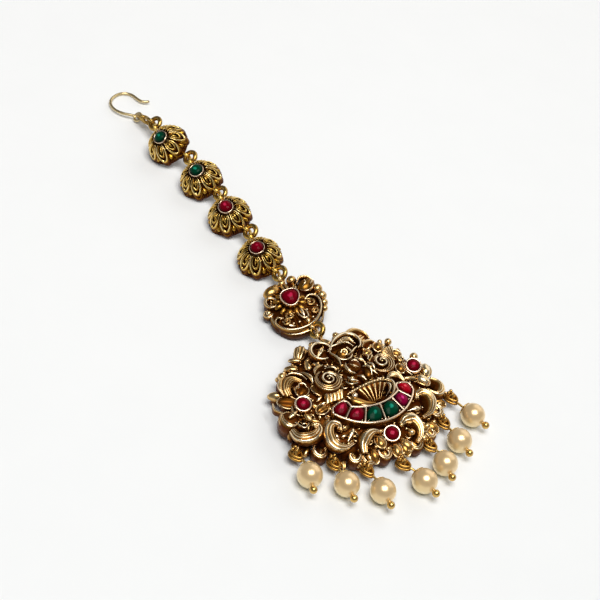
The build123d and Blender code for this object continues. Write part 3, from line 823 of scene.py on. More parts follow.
def medallionParts():
    # body: radius·(1 + 0.035·cos(scallops·angle + 0.6)) at each level
    m = medallion
    angle = around(96)
    scallop = 1 + 0.035 * np.cos(m["scallops"] * angle + 0.6)
    radius, level = np.array(m["body"]).T[..., None]
    parts = [
        shell(polar(radius * scallop, angle, level), 0.0),
        ridge(bowl, 0.28, 0.42, 1.8, (0.7, 0.7), 110),
        band(bowlLip, 0.42, 0.5, 2, 1.2, (0.4, 0.4), count=60),
        ball((2.25, -0.75, 3.2), 0.42),
        # the hollow of the bowl: fluted ground, a flame in its middle, scrolls and seeds on both sides
        fan([(-3.6, -1.2, 2.9), (-2.2, -2.3, 3.0), (-0.4, -2.4, 3.0), (1.0, -1.2, 3.0)],
            [(-6.2, -3.4, 2.1), (-5.3, -5.5, 1.9), (-2.2, -6.8, 1.9), (1.4, -6.3, 2.1), (3.8, -4.0, 2.4),
             (4.3, -1.2, 2.7)], 0.2, 1.0, 15, cols=150, deep=0.35, dark=0.0, sharp=3.0, bright=0.10),
        bud((-0.2, -3.6, 2.9), 1.35, 0.55, 0.9, 265, bright=0.95),
        ridge([(-0.9, -2.5, 3.0), (-1.2, -3.8, 3.1), (-0.6, -5.1, 3.0), (0.4, -5.1, 3.0), (0.7, -3.8, 3.1),
               (0.4, -2.5, 3.0)], 0.24, 0.4, 0.9, (0.6, 0.6), 56),
        bud((0.0, -5.7, 2.4), 0.8, 0.7, 0.8, 275, bright=0.8),
        ridge([(-5.0, -3.6, 2.6), (-4.4, -4.7, 2.5), (-3.4, -5.5, 2.3), (-3.0, -5.7, 2.1)], 0.38, 0.4, 1.0,
              (0.6, 0.1)),
        # left side: a bud, a round loop with seeds in it, and two curls
        bud((-2.9, 4.8, 1.9), 2.1, 1.7, 1.9, 190, point=0.2, lean=0.2, bright=0.6),
        ridge([(-4.2, 5.0, 3.0), (-3.2, 5.9, 2.7), (-1.9, 5.8, 2.5)], 0.22, 0.3, 0.8),
        ribbed(spiral(-4.6, 2.0, 1.55, 1.35, -20, 300, 2.5, 2.9, count=48, stretch=0.85),
               swell(48, 0.5, 0.5) * 0.36, 0.4, 1, 1.4),
        bud((-4.6, 2.0, 2.0), 1.1, 0.55, 0.7, 75, ribs=6),
        ribbed(spiral(-6.3, 0.1, 1.0, 0.85, 60, 330, 1.8, 2.2, count=32), 0.26, 0.34, 1, 1.0),
        band([(-5.2, -0.2, 1.9), (-6.2, -1.1, 1.9), (-6.5, -2.6, 1.7), (-6.2, -4.2, 1.4), (-5.2, -5.3, 1.3)],
             0.45, 0.5, 2, 1.0, (0.5, 0.5)),
        # right side: a ball, a broad leaf under two arcs, and seeds
        ball((2.7, 6.1, 2.0), 1.15, wearAndShading=0.7),
        bud((4.7, 3.1, 1.9), 2.2, 1.8, 1.8, 22, point=0.15, bright=0.32),
        ridge([(3.4, 2.4, 3.3), (4.3, 3.0, 3.8), (4.6, 3.9, 3.5)], 0.24, 0.25, 0.6, (0.2, 0.3), 24),
        ridge([(5.1, 2.2, 3.6), (5.9, 2.9, 3.4), (6.0, 3.8, 3.0)], 0.26, 0.25, 0.6, (0.3, 0.3), 24),
        band([(2.9, 4.3, 2.6), (4.2, 5.3, 2.9), (5.9, 4.9, 2.7), (6.8, 3.3, 2.3)], 0.42, 0.5, 2, 1.6,
             (0.3, 0.3)),
        ridge([(2.7, 2.0, 2.9), (3.6, 1.2, 3.0), (5.0, 1.4, 2.9), (6.2, 2.6, 2.5)], 0.26, 0.4, 1.2),
        bud((2.2, 3.9, 1.9), 1.3, 0.8, 1.0, 60, ribs=4),
    ]
    for x, y, r, start, way in bowlCurls:
        path = spiral(x, y, r, 0.2, start, start + way * 420, 2.8, 3.3, count=52)
        parts.append(ribbed(path, np.linspace(0.29, 0.18, 52), 0.42, 1, 0.9, bright=0.6))
        parts.append(ball((x, y, 3.2), 0.24, rows=7, cols=12))
    parts += [ball((x, y, 2.7 + r * 0.3), r, rows=7, cols=12) for x, y, r in bowlSeeds]
    parts += [ball((x, y, 2.3), r, rows=9, cols=14) for x, y, r in leftSeeds]
    parts += [ball((x, y, 1.9), r, rows=10, cols=16, wearAndShading=0.75) for x, y, r in rightSeeds]
    parts += [wire(curve([(x - 0.2, 6.8, 1.3), (x, 5.0, 2.9), (x - 0.5, 2.6, 3.8)], 24), 0.34, wearAndShading=0.7)
              for x in (-0.45, 0.45)]
    # a collar of small petals round the collet
    for azimuth in range(0, 360, 30):
        spot = polar(2.75, radians(azimuth), 3.0) + (*m["stone"], 0)
        parts.append(bud(spot, 0.95, 0.6, 0.75, azimuth, point=0.2, lean=-0.25, bright=0.5, rows=12, cols=20))
    cup = collet(0, 0, m["colletRadius"], m["rim"], m["colletRadius"] - m["wall"], triangular)
    return parts + [moved(cup, colletTilt)]


m = medallion
place = rollFrame((m["centre"][0], m["centre"][1], m["radius"] * np.sin(radians(m["roll"]))), m["roll"])
parts = [moved(p, place) for p in shade(medallionParts(), **m["shade"])]
outward = place[:3, 2]
for side, ringNumber in ((-1, 4), (1, 5)):
    anchor = place[:3, 3] + np.array([0, -side * 5.6, 0]) + outward * 0.9
    parts += linkLoop(centreOf(f"link_ring_{ringNumber}"), side, anchor)
makePiece("medallion", parts, medalGold, ["medallion"])
part = cabochon(m["colletRadius"] - 0.34, m["rim"] - 1.0, m["rim"] - 0.35, m["rim"] + 0.62)
part["points"] = triangular(part["points"])
makePiece("medallionStone", [moved(moved(part, colletTilt), place)], rubyGem, ["medallion_stone"])

# Pendant.

pendant = dict(
    halfWidth=15.6,
    halfHeight=14.2,
    middleY=0.4,
    squareness=2.4,
    lobes=22,
    shade=dict(depth=1.6, reach=7, weight=0.85),
    edgeTop=2.6,
    crown=5.4,                # level of the worked ground in the middle
)


def groundReach(x, y):
    # (|x/halfWidth|ⁿ + |y/halfHeight|ⁿ)^(1/n): 0 in the middle, 1 at the rim
    n = pendant["squareness"]
    return (np.abs(x / pendant["halfWidth"]) ** n + np.abs(y / pendant["halfHeight"]) ** n) ** (1 / n)


def groundLevel(reach):
    # level = edgeTop + (crown - edgeTop)·(1 - reach²)
    return pendant["edgeTop"] + (pendant["crown"] - pendant["edgeTop"]) * (1 - reach**2)


def pendantGround():
    # a low dome on a superellipse, its rim lobed: radius·(1 + 0.03·cos(lobes·angle))
    angle = around(180)
    radius = (1 + 0.03 * np.cos(pendant["lobes"] * angle)) / groundReach(np.cos(angle), np.sin(angle))
    inner = np.linspace(0.96, 0.01, 22)
    fraction = np.concatenate([[0.01, 0.90, 0.97, 1.0, 0.99], inner])[:, None]
    level = np.concatenate([[0.0, 0.0, 0.35, 1.1, 2.0], groundLevel(inner)])[:, None]
    return shell(polar(fraction * radius, angle, level) + (0, pendant["middleY"], 0), 0.08)


# rim ornament seen all round: buds (x, y, level, length, width, height, azimuth, ribs)
rimBuds = [
    (-13.6, -2.0, 4.2, 1.25, 0.8, 1.2, 285, 0), (15.6, 3.2, 2.6, 1.3, 1.1, 1.6, 30, 0),
    (13.8, 6.6, 3.1, 1.5, 1.1, 1.7, 40, 3), (12.3, 4.4, 4.0, 1.3, 0.8, 1.4, 100, 4),
    (12.9, 8.0, 2.6, 1.5, 1.2, 1.8, 40, 0), (11.4, 9.6, 2.8, 1.5, 1.2, 1.8, 45, 0),
    (7.9, 9.2, 4.2, 1.3, 1.0, 1.5, 210, 3), (-6.4, 13.3, 4.0, 2.1, 1.7, 1.9, 230, 8),
    (7.8, 12.4, 3.2, 2.6, 1.9, 2.3, 20, 12), (4.2, 14.6, 3.0, 1.9, 1.2, 1.8, 70, 4),
    (1.6, 14.9, 2.6, 1.5, 0.9, 1.4, 110, 0), (-3.6, 13.9, 2.6, 1.6, 1.1, 1.6, 130, 3),
    (-9.8, 10.7, 3.4, 1.6, 1.1, 1.6, 150, 4), (-12.6, 9.4, 2.6, 1.5, 1.1, 1.5, 130, 0),
    (-15.8, 6.4, 2.4, 1.7, 1.3, 1.7, 150, 0), (-17.3, -3.0, 2.4, 1.6, 1.3, 1.6, 215, 0),
    (-6.5, -13.9, 2.3, 1.3, 1.0, 1.5, 270, 0), (-4.4, -14.0, 2.3, 1.3, 1.0, 1.6, 270, 4),
    (-2.3, -13.7, 2.2, 1.2, 0.9, 1.4, 280, 0), (1.8, -13.7, 2.6, 1.3, 1.1, 1.5, 270, 0),
    (9.0, -12.4, 2.3, 1.3, 1.0, 1.5, 290, 0), (13.6, -9.2, 2.2, 1.3, 1.0, 1.5, 310, 0),
    (-11.6, -12.9, 1.7, 1.2, 0.8, 1.2, 250, 4), (5.8, -13.6, 2.0, 1.2, 0.9, 1.2, 280, 4),
    (-16.6, -7.3, 1.6, 1.3, 0.9, 1.2, 220, 0), (16.9, -3.0, 1.9, 1.2, 0.9, 1.3, 330, 0),
    (11.2, -1.4, 4.9, 1.5, 0.6, 0.8, 340, 0), (-10.6, -4.2, 4.2, 1.5, 0.7, 1.0, 210, 3),
    (-5.7, 10.7, 4.7, 1.5, 0.8, 1.1, 20, 3), (-6.9, 9.5, 4.9, 1.5, 0.9, 1.0, 75, 0),
    (-8.2, 12.1, 4.0, 1.5, 0.8, 1.2, 150, 4), (-3.8, 9.0, 5.6, 1.2, 0.6, 0.8, 170, 0),
    (-5.4, 8.2, 5.6, 1.2, 0.7, 0.9, 120, 3),
]
# cupped petals with an outline: x, y, level, length, width, height, azimuth, bright, and ribs if any
petals = [
    (-15.1, 3.3, 3.7, 2.0, 1.6, 1.0, 150, 0.20, 5), (-16.8, -0.4, 3.4, 1.9, 1.75, 1.0, 200, 0.08),
    (-11.3, 4.3, 4.6, 1.5, 1.35, 0.9, 30, 0.18, 5), (-10.1, -1.5, 4.7, 1.4, 1.15, 1.0, 10, 0.40, 7),
    (-8.7, 2.9, 4.9, 1.5, 0.85, 1.1, 110, 0.30), (16.3, -0.1, 3.6, 1.8, 1.35, 1.7, 60, 0.95),
    (13.9, -2.4, 4.0, 1.7, 1.2, 1.5, 300, 0.95), (10.8, 1.6, 4.8, 1.15, 1.05, 1.2, 80, 0.30),
    (12.7, 5.9, 4.3, 1.2, 0.9, 1.0, 130, 0.40), (9.6, 8.4, 4.9, 1.2, 1.1, 1.3, 60, 0.45),
    (6.1, 7.4, 5.6, 1.0, 0.8, 0.9, 200, 0.60), (-2.2, 14.0, 3.6, 1.5, 1.2, 1.5, 70, 0.60),
    (-5.6, -13.9, 2.4, 1.7, 1.2, 1.9, 265, 0.45),
    (1.4, -14.6, 1.9, 1.7, 1.3, 1.8, 270, 0.50),
    (9.6, -12.2, 2.0, 1.8, 1.4, 1.8, 300, 0.50),
    (-3.3, -12.3, 3.9, 1.5, 1.1, 1.2, 85, 0.60), (-0.6, -14.6, 2.7, 1.6, 1.1, 1.4, 255, 0.60),
    (1.9, -14.3, 2.7, 1.6, 1.1, 1.4, 290, 0.60), (7.0, -12.2, 3.6, 1.4, 1.0, 1.1, 110, 0.55),
    (15.0, -7.4, 1.8, 1.7, 1.2, 1.6, 320, 0.45), (-17.2, -5.4, 1.6, 1.7, 1.2, 1.4, 205, 0.40),
]
# small curled leaves between the drops: x, y, level, radius, azimuth, way
curls = [
    (-14.4, -8.8, 2.6, 1.6, 235, 1), (-9.4, -12.7, 3.1, 1.5, 265, -1), (-6.7, -14.2, 2.7, 1.3, 250, 1),
    (-3.2, -14.3, 3.0, 1.45, 275, 1), (3.9, -14.6, 2.7, 1.5, 290, -1), (8.5, -13.4, 2.6, 1.3, 290, 1),
    (12.4, -9.6, 3.0, 1.6, 315, -1), (16.0, -5.6, 2.7, 1.2, 330, 1),
]
# polished balls (x, y, level, radius)
rimBalls = [
    (-13.2, 9.1, 4.7, 0.85), (13.9, 10.1, 3.4, 0.8), (6.3, -14.3, 3.0, 0.85), (-12.7, -12.0, 2.2, 0.8),
    (-8.8, -14.2, 2.3, 0.8), (16.6, 4.3, 3.6, 0.9), (3.9, -12.9, 4.4, 0.75), (17.4, -5.4, 3.4, 0.5),
    (8.2, -12.4, 3.7, 0.75), (4.3, 16.0, 3.2, 0.7), (-2.6, 14.9, 4.0, 0.6), (6.4, 10.6, 6.0, 0.5),
    (-5.6, 13.9, 3.4, 0.5), (14.8, -8.0, 2.6, 0.7), (12.0, 10.6, 3.6, 0.55),
    (-2.2, -14.0, 3.6, 0.45), (0.6, -15.6, 2.6, 0.42), (-4.6, -12.9, 4.0, 0.40), (10.4, -11.9, 3.4, 0.50),
]
# broad ribbed leaves: line, half width, height, ribs, ends, peak
leaves = [
    # bright rim of the cup over the left flower, and the leaf beside it
    ([(-15.2, 4.6, 4.6), (-15.2, 6.3, 4.9), (-14.3, 7.7, 5.1), (-12.7, 8.5, 5.2)],
     0.55, 0.7, 2, (0.4, 0.3), 0.5),
    ([(-9.9, 8.7, 4.9), (-8.9, 7.5, 5.4), (-8.3, 6.0, 5.5), (-8.6, 4.6, 5.3)], 0.58, 0.6, 2, (0.2, 0.4), 0.65),
    # feather under the left flower
    ([(-17.9, -3.5, 4.2), (-17.8, -5.1, 4.4), (-16.7, -6.2, 4.5), (-14.9, -6.5, 4.6), (-13.4, -5.9, 4.7),
      (-12.9, -4.9, 4.8), (-13.6, -4.2, 4.9)], 1.35, 1.2, 4, (0.6, 0.5), 0.35),
    # large left scroll
    ([(-9.6, -7.3, 5.0), (-9.2, -6.2, 5.1), (-10.1, -5.5, 5.1), (-11.3, -6.0, 5.0), (-12.3, -7.5, 4.9),
      (-12.5, -9.2, 4.7), (-11.8, -10.5, 4.5), (-10.3, -11.0, 4.3), (-8.5, -10.7, 4.2)],
     1.35, 1.25, 3, (0.5, 0.35), 0.6),
    ([(-9.3, -9.9, 4.3), (-7.7, -8.7, 4.9), (-6.5, -7.5, 5.0)], 0.55, 0.65, 1, (0.4, 0.1), 0.5),
    # arched leaves on both sides of the lowest stone
    ([(-7.5, -13.3, 3.8), (-7.0, -11.8, 4.4), (-5.5, -10.4, 4.7), (-3.6, -9.9, 4.8), (-2.2, -10.5, 4.7)],
     1.3, 1.2, 3, (0.6, 0.3), 0.45),
    ([(2.4, -10.6, 4.8), (4.0, -9.9, 4.9), (5.7, -10.5, 4.8), (6.0, -12.4, 4.5), (5.2, -14.1, 4.0),
      (3.9, -14.8, 3.6)], 1.5, 1.2, 3, (0.5, 0.35), 0.3),
    # large right scroll and the leaf that lies in it
    ([(9.2, -6.4, 4.9), (9.7, -5.6, 5.1), (10.9, -5.6, 5.1), (11.9, -6.7, 5.0), (11.7, -8.5, 4.7),
      (10.1, -10.2, 4.5), (8.0, -10.7, 4.4)], 1.3, 1.25, 3, (0.45, 0.35), 0.6),
    ([(9.2, -9.0, 4.4), (7.6, -8.6, 5.0), (5.6, -8.4, 4.9)], 0.65, 0.7, 1, (0.4, 0.1), 0.45),
    # curl at the right edge
    ([(15.7, -2.6, 4.2), (16.7, -4.3, 4.2), (16.2, -6.0, 4.1), (14.7, -6.7, 4.2), (13.3, -5.5, 4.5)],
     1.0, 0.9, 3, (0.5, 0.35), 0.5),
    # top right lobes
    ([(4.2, 12.6, 5.0), (5.4, 14.0, 5.0), (7.5, 14.4, 4.9), (9.3, 13.2, 4.6), (9.6, 11.6, 4.4)],
     0.75, 0.7, 3, (0.4, 0.4), 0.4),
    ([(6.0, 9.2, 5.6), (7.2, 10.1, 5.6), (8.9, 10.2, 5.3), (10.0, 9.2, 5.0)], 0.5, 0.55, 2, (0.3, 0.3), 0.5),
    # top left lobes
    ([(-7.6, 6.0, 6.2), (-6.6, 7.2, 6.3), (-4.9, 7.4, 6.4)], 0.5, 0.5, 2, (0.2, 0.3), 0.5),
    ([(-5.0, 6.6, 6.3), (-3.6, 6.0, 6.7), (-2.9, 4.9, 6.9)], 0.35, 0.45, 1, (0.2, 0.3), 0.5),
]
# round ends where a leaf curls in: x, y, level, radius
curlEnds = [(-13.7, -4.3, 5.1, 0.62), (-9.5, -7.3, 5.2, 0.55), (13.2, -5.4, 4.8, 0.42), (9.3, -6.3, 5.2, 0.5),
            (-2.2, -10.6, 5.0, 0.4), (2.6, -10.9, 5.0, 0.45)]
# thin raised lines
lines = [
    [(-1.4, 10.5, 6.6), (-1.9, 9.4, 6.8), (-1.4, 7.9, 7.0), (-1.5, 6.7, 7.1), (-1.9, 5.4, 7.1)],
    [(4.3, 9.0, 6.8), (3.3, 8.5, 7.0), (2.1, 7.8, 7.1), (0.9, 7.4, 7.1)],
    [(-2.0, 10.2, 6.4), (-0.9, 10.9, 6.7), (0.4, 10.9, 6.9), (1.8, 10.9, 7.0), (3.0, 10.4, 7.0),
     (3.5, 9.2, 6.9)],
    [(3.0, 3.2, 6.8), (3.6, 2.2, 6.9), (4.2, 1.0, 6.8)],
    [(-3.1, 1.6, 6.8), (-2.4, 0.6, 6.9), (-1.0, 0.3, 7.0)],
    [(4.9, 7.0, 6.4), (5.2, 6.0, 6.5), (4.6, 5.2, 6.7)],
    [(-13.0, 2.8, 5.2), (-11.8, 2.6, 5.2), (-11.0, 1.4, 5.2)],
    [(-15.2, 1.7, 4.6), (-15.6, 0.3, 4.6), (-15.0, -1.0, 4.6)],
    [(-17.9, 4.2, 3.8), (-18.3, 2.7, 3.9), (-17.7, 1.4, 4.2)],
    [(-18.6, 0.6, 3.8), (-19.0, -0.9, 3.9), (-18.1, -2.1, 4.2)],
    [(-16.6, -2.0, 4.6), (-15.6, -3.9, 4.6), (-14.2, -3.3, 4.7)],
    [(11.9, 2.2, 5.2), (11.5, 0.6, 5.2), (12.1, -0.9, 5.2)],
    [(14.9, 2.3, 5.0), (15.7, 1.2, 4.9), (15.5, -0.1, 4.9)],
]
# small buttons among them: x, y, level, radius
buttons = [(-1.4, 1.9, 7.1, 0.36), (3.9, 3.1, 6.9, 0.36), (4.1, 1.9, 6.9, 0.34), (-1.1, 3.7, 7.3, 0.55),
           (-3.4, 5.0, 7.0, 0.3), (-2.6, -0.2, 6.9, 0.3), (4.9, -0.2, 6.6, 0.3), (4.6, 12.9, 5.3, 0.4),
           (-5.2, 8.6, 6.0, 0.35), (5.4, 8.0, 6.5, 0.35), (-11.9, 5.0, 5.2, 0.35), (9.7, 4.6, 5.6, 0.35)]

leafParts = [band(line, width, height, ribs, 1.9, ends, peak, 46 if ribs > 2 else 32, fall=0.042)
             for line, width, height, ribs, ends, peak in leaves]
budParts = []
for *spot, length, width, height, azimuth, ribs in sorted(rimBuds, key=lambda row: row[-1] == 0):
    cols = 48 if ribs > 5 else 28 if ribs else 24
    budParts.append(bud(spot, length, width, height, azimuth, ribs, 0.9 if ribs else 0.8, rows=16, cols=cols))
budParts += [part for values in petals for part in petal(*values)]
budParts += [domeCap(x, y, width * 0.68, z, z + 0.4, wearAndShading=0.12, cols=20)
             for x, y, z, _, width, *_ in rimBuds + petals]
ballParts = [ball((x, y, z), r, wearAndShading=0.8) for x, y, z, r in rimBalls + buttons + curlEnds]
ballParts += [domeCap(x, y, r * 0.8, z - 0.9, z - 0.4, wearAndShading=0.15, cols=16) for x, y, z, r in rimBalls]
lineParts = [ridge(line, 0.24, 0.34, 1.2) for line in lines]
for x, y, z, r, azimuth, way in curls:
    path = spiral(x, y, r, 0.45 * r, azimuth - way * 130, azimuth + way * 150, z + 0.5, z + 0.3, -0.5, 40)
    leafParts += [ribbed(path, swell(40, 0.35, 0.4, 0.45) * 0.46 * r, 0.55, 2, 1.9, roundness=0.42, crest=1.3,
                         cols=27, gather=1.4, hollow=-way),
                  ball((x, y, z - 1.0), 0.88 * r, squash=0.95, rows=9, cols=18, wearAndShading=0.06),
                  bud((x, y, z - 0.1), 0.75 * r, 0.42 * r, 0.6, azimuth, bright=0.7, rows=10, cols=16)]

scrollParts = volute(-6.1, 3.3, 7.3, 2.95, 100, 1) + volute(6.8, 3.3, 7.2, 2.6, 190, 1, coils=1.2) + [
    # arched leaf over the left flower
    band([(-14.3, 4.3, 4.3), (-14.2, 6.0, 4.7), (-13.1, 7.2, 4.9), (-11.6, 7.3, 5.0), (-10.4, 6.2, 5.0)],
         1.25, 0.8, 4, 2.4, (0.7, 0.4), bright=0.8),
    # the rolled edge of the cup at the left, and the streak of light metal in it
    band([(-17.5, 1.6, 3.7), (-18.3, -0.1, 3.9), (-18.3, -1.6, 4.1), (-17.4, -2.5, 4.2), (-16.1, -2.5, 4.2)],
         0.85, 0.8, 3, 2.6, (0.5, 0.3)),
    ridge([(-17.2, -0.7, 4.8), (-16.1, -0.4, 5.0), (-15.1, 0.0, 5.0)], 0.50, 0.40, 0.8, bright=0.9),
    # two lines beside the arched leaf, and the bright rayed leaf beside the right scroll
    ridge([(-12.7, 8.5, 5.4), (-11.3, 8.5, 5.5), (-9.9, 7.5, 5.5), (-9.4, 6.0, 5.5)], 0.22, 0.35, 1.6),
    ridge([(-12.3, 4.4, 5.9), (-11.7, 5.2, 6.0), (-10.8, 4.9, 6.0), (-10.6, 4.0, 5.8)], 0.2, 0.3, 1.0),
    fan([(10.0, 3.3, 5.7), (10.5, 3.3, 5.7)], [(8.9, 6.3, 6.0), (10.4, 7.0, 6.1), (12.0, 6.7, 5.9)],
        0.35, 3.6, 5, cols=76, deep=0.3, dark=0.35),
    # open ring at the top left with a striped leaf in it
    ribbed(spiral(-3.2, 10.7, 2.35, 2.2, 10, 275, 6.4, 6.6, count=56), swell(56, 0.6, 0.6) * 0.36, 0.42, 1,
           1.2),
    domeCap(-3.2, 10.7, 2.25, 4.6, 5.7, wearAndShading=0.06),
    band([(-4.5, 9.9, 6.0), (-3.3, 10.8, 6.4), (-2.0, 11.9, 6.2)], 0.62, 0.5, 3, 1.2, (0.3, 0.3)),
    # tall scroll at the top, two arcs with a striped fill
    ribbed(curve([(-1.2, 10.4, 6.4), (-0.3, 11.6, 6.6), (1.3, 12.6, 6.7), (3.6, 13.2, 6.6), (5.4, 12.4, 6.5),
                  (6.0, 10.9, 6.5), (5.4, 9.3, 6.6), (4.4, 8.6, 6.7)], 64),
           swell(64, 0.6, 0.4) * 0.40, 0.45, 1, 1.8),
    band([(0.4, 11.3, 5.9), (2.2, 12.0, 6.2), (4.2, 11.8, 6.2), (4.9, 10.2, 6.1)], 0.75, 0.5, 4, 1.6,
         (0.2, 0.2)),
    domeCap(2.2, 10.9, 2.9, 4.8, 5.5, wearAndShading=0.1),
    # boss with its bead
    domeCap(0.9, 8.7, 1.55, 5.2, 7.1, wearAndShading=0.30),
    ring((0.9, 8.6, 6.9), (-0.3, -0.3, 0.9), 0.62, 0.2, count=24, cols=8),
    ball((0.8, 8.5, 7.1), 0.38, rows=9, cols=14),
    ribbed(spiral(0.9, 8.7, 1.75, 1.7, 200, 400, 6.3, 6.5, count=32), 0.24, 0.3, 1, 1.2),
]

lotusRoot = [(-0.9, -4.6, 6.1), (0.3, -4.8, 6.2), (1.6, -4.6, 6.1)]
lotusRim = [(-2.4, -1.5, 6.95), (-0.9, -1.4, 7.0), (1.0, -1.3, 7.0), (3.0, -1.5, 7.0), (4.4, -2.1, 6.75)]
lotusBand = [(-4.5, -1.3, 6.7), (-2.8, -1.2, 7.2), (-0.5, -0.95, 7.4), (1.8, -0.8, 7.4), (3.9, -1.1, 7.3),
             (5.4, -1.9, 7.0)]
figureParts = [
    # seated motif over the lotus: round body, bent arms and knees
    domeCap(0.4, 3.4, 2.6, 5.6, 6.4, wearAndShading=0.05),
    # the ball is dark as a painted reflection, and the two bright ridges on it are painted highlights
    ball((0.55, 4.2, 7.2), 1.38, squash=0.9, rows=20, cols=32, wearAndShading=0.06),
    ridge([(-0.5, 4.6, 8.05), (-0.1, 3.7, 8.3), (0.7, 3.2, 8.1)], 0.26, 0.22, 0.5, (0.2, 0.2), 24),
    ridge([(0.3, 5.3, 8.0), (1.0, 5.1, 8.1), (1.5, 4.4, 8.0)], 0.28, 0.22, 0.5, (0.2, 0.2), 24),
    band([(-0.7, 5.6, 6.9), (-1.3, 4.5, 7.2), (-1.1, 3.3, 7.2), (-0.3, 2.6, 7.0)], 0.42, 0.6, 1, 1.8,
         (0.5, 0.5)),
    band([(1.8, 5.9, 6.7), (2.8, 5.4, 7.0), (3.4, 4.4, 6.9)], 0.55, 0.55, 2, 1.8, (0.4, 0.4)),
    bud((2.6, 2.3, 6.5), 1.6, 1.05, 1.1, 75, bright=0.25),
    ridge([(2.1, 3.5, 7.3), (2.9, 3.0, 7.6), (3.1, 2.0, 7.5), (2.7, 1.0, 7.1)], 0.28, 0.4, 1.0),
    band([(4.0, 4.3, 6.7), (4.4, 3.3, 7.0), (4.3, 2.2, 6.9)], 0.38, 0.5, 1, 1.6, (0.4, 0.4)),
    band([(-2.2, 2.4, 6.9), (-1.9, 1.4, 7.1), (-0.9, 0.6, 7.1)], 0.42, 0.55, 1, 1.6, (0.5, 0.4)),
    band([(-0.1, 2.0, 6.9), (0.6, 1.3, 7.1), (0.9, 0.3, 7.0)], 0.38, 0.5, 1, 1.6, (0.4, 0.4)),
    bud((3.6, 6.3, 6.2), 1.1, 0.6, 0.8, 50, ribs=3, bright=0.7),
    # lotus bowl: dark flutes from one root, a rim, two bright bands at its right end and an outline
    fan(lotusRoot, lotusRim, 0.7, 4.2, 6, cols=100, deep=0.9, dark=0.0, sharp=5.0),
    band([(-4.3, -1.7, 6.3), (-3.3, -3.0, 6.3), (-1.7, -4.2, 6.2), (0.2, -4.8, 6.0)], 0.85, 0.5, 1, 1.8,
         (0.5, 0.2), 0.35, bright=0.25),
    band(lotusBand, 0.34, 0.40, 1, 1.6, (0.4, 0.5), count=60, bright=0.75),
    band([(5.1, -0.9, 7.0), (5.8, -2.1, 7.0), (5.3, -3.5, 6.9), (3.8, -4.8, 6.7), (2.2, -5.2, 6.5)],
         0.36, 0.45, 1, 2.0, (0.5, 0.1), 0.35),
    band([(4.3, -1.8, 7.0), (4.7, -2.6, 7.1), (4.0, -3.7, 7.0), (2.5, -4.7, 6.8)],
         0.36, 0.45, 1, 2.0, (0.5, 0.1), 0.35),
    ball((-3.2, -2.0, 6.85), 0.66, squash=0.7, wearAndShading=1.0, pale=0.5),
    ridge([(-4.7, -1.4, 6.5), (-3.9, -3.0, 6.2), (-2.8, -4.3, 6.1), (-1.2, -5.1, 6.1), (0.7, -5.35, 6.1),
           (3.0, -5.1, 6.1), (5.0, -3.9, 6.2), (6.3, -2.3, 6.3), (6.4, -1.0, 6.4)],
          0.20, 0.3, 1.6, (0.6, 0.6), 72),
    # pleated bright leaves at both ends of the lotus
    fan([(-9.1, -1.2, 5.6), (-7.7, -1.2, 5.8), (-6.3, -1.4, 5.9), (-5.2, -1.4, 6.0)],
        [(-8.3, 0.9, 5.9), (-6.4, 0.9, 6.3), (-4.6, 0.3, 6.4)], 0.4, 4.0, 5, cols=76, deep=0.22, dark=0.55),
    band([(5.4, -0.8, 6.3), (6.9, 0.0, 6.5), (8.3, -0.7, 6.4), (8.9, -2.2, 6.1)], 0.85, 0.55, 4, 1.6,
         (0.4, 0.5), 0.5, groove=0.35),
]
# beads along the lotus's rim
figureParts += [ball((x, y, z + 0.22), 0.26, rows=7, cols=12) for x, y, z in curve(lotusBand, 17)[1:-1]]

# crescent of six stones
crescent = dict(
    x=0.3, outerY=1.8, outerR=11.2, innerY=5.9, innerR=11.5, fanY=4.0,
    innerWalls=(-48, -35, -17.5, 1, 20, 34.5, 46),      # degrees from straight down, at the inner arc
    outerWalls=(-50, -39, -22, -3, 18.5, 36, 46.5),     # and at the outer arc
    ends=(-0.32, 6.42),       # the end stones' round outer sides reach this far, counted in walls
    endLift=(1.15, 0.95),     # and their inner sides stand this far out of the inner arc
    wallWidth=0.24,
    top=6.3,
    foot=4.0,
    stoneRise=0.8,
    slope=0.5,                # the inner arc lies this much higher than the outer one
    skew=0.35,                # the stones swell more on their inner side
    squareness=(2.15, 2.9, 2.7, 2.3, 2.7, 2.2),
    collet=dict(radius=1.74, bore=1.32),
    colletSlopes=dict(ruby_left=14, ruby_right=18, ruby_bottom=24),
)
c = crescent


def onArc(angle, centreY, radius, lift=0.0):
    # where the fan's ray at an angle meets an arc, less a lift towards the fan's centre
    a = np.radians(angle)
    e = c["fanY"] - centreY
    distance = e * np.cos(a) + np.sqrt((e * np.cos(a)) ** 2 - e**2 + radius**2) - lift
    return np.stack([c["x"] + distance * np.sin(a), c["fanY"] - distance * np.cos(a)], -1)


def cellPoint(s, d, level):
    # s counts the walls from 0 to 6, d runs from the inner arc (0) to the outer one (1)
    s, d, level = np.broadcast_arrays(np.asarray(s, float), d, level)
    first, last = c["ends"]
    lift = (c["endLift"][0] * np.sin(np.pi * np.clip((s - first) / (1 - first), 0, 1))
            + c["endLift"][1] * np.sin(np.pi * np.clip((s - 5) / (last - 5), 0, 1)))
    inner, outer = ([2 * w[0] - w[1], *w, 2 * w[-1] - w[-2]] for w in (c["innerWalls"], c["outerWalls"]))
    near = onArc(np.interp(s, range(-1, 8), inner), c["innerY"], c["innerR"], lift)
    far = onArc(np.interp(s, range(-1, 8), outer), c["outerY"], c["outerR"])
    plan = near * (1 - d[..., None]) + far * d[..., None]
    level = level + c["slope"] * (0.5 - d)
    return np.concatenate([plan, level[..., None]], -1)


def wall(line, width):
    # a rounded wall with a pale top: pale = (level - top + 0.15)/0.2
    part = ribbed(line, width, 0.30, 1, 2.3)
    part["pale"] = np.clip((part["points"][:, 2] - c["top"] + 0.15) / 0.2, 0, 1)
    part["wearAndShading"] = np.maximum(part["wearAndShading"], part["pale"])
    return part


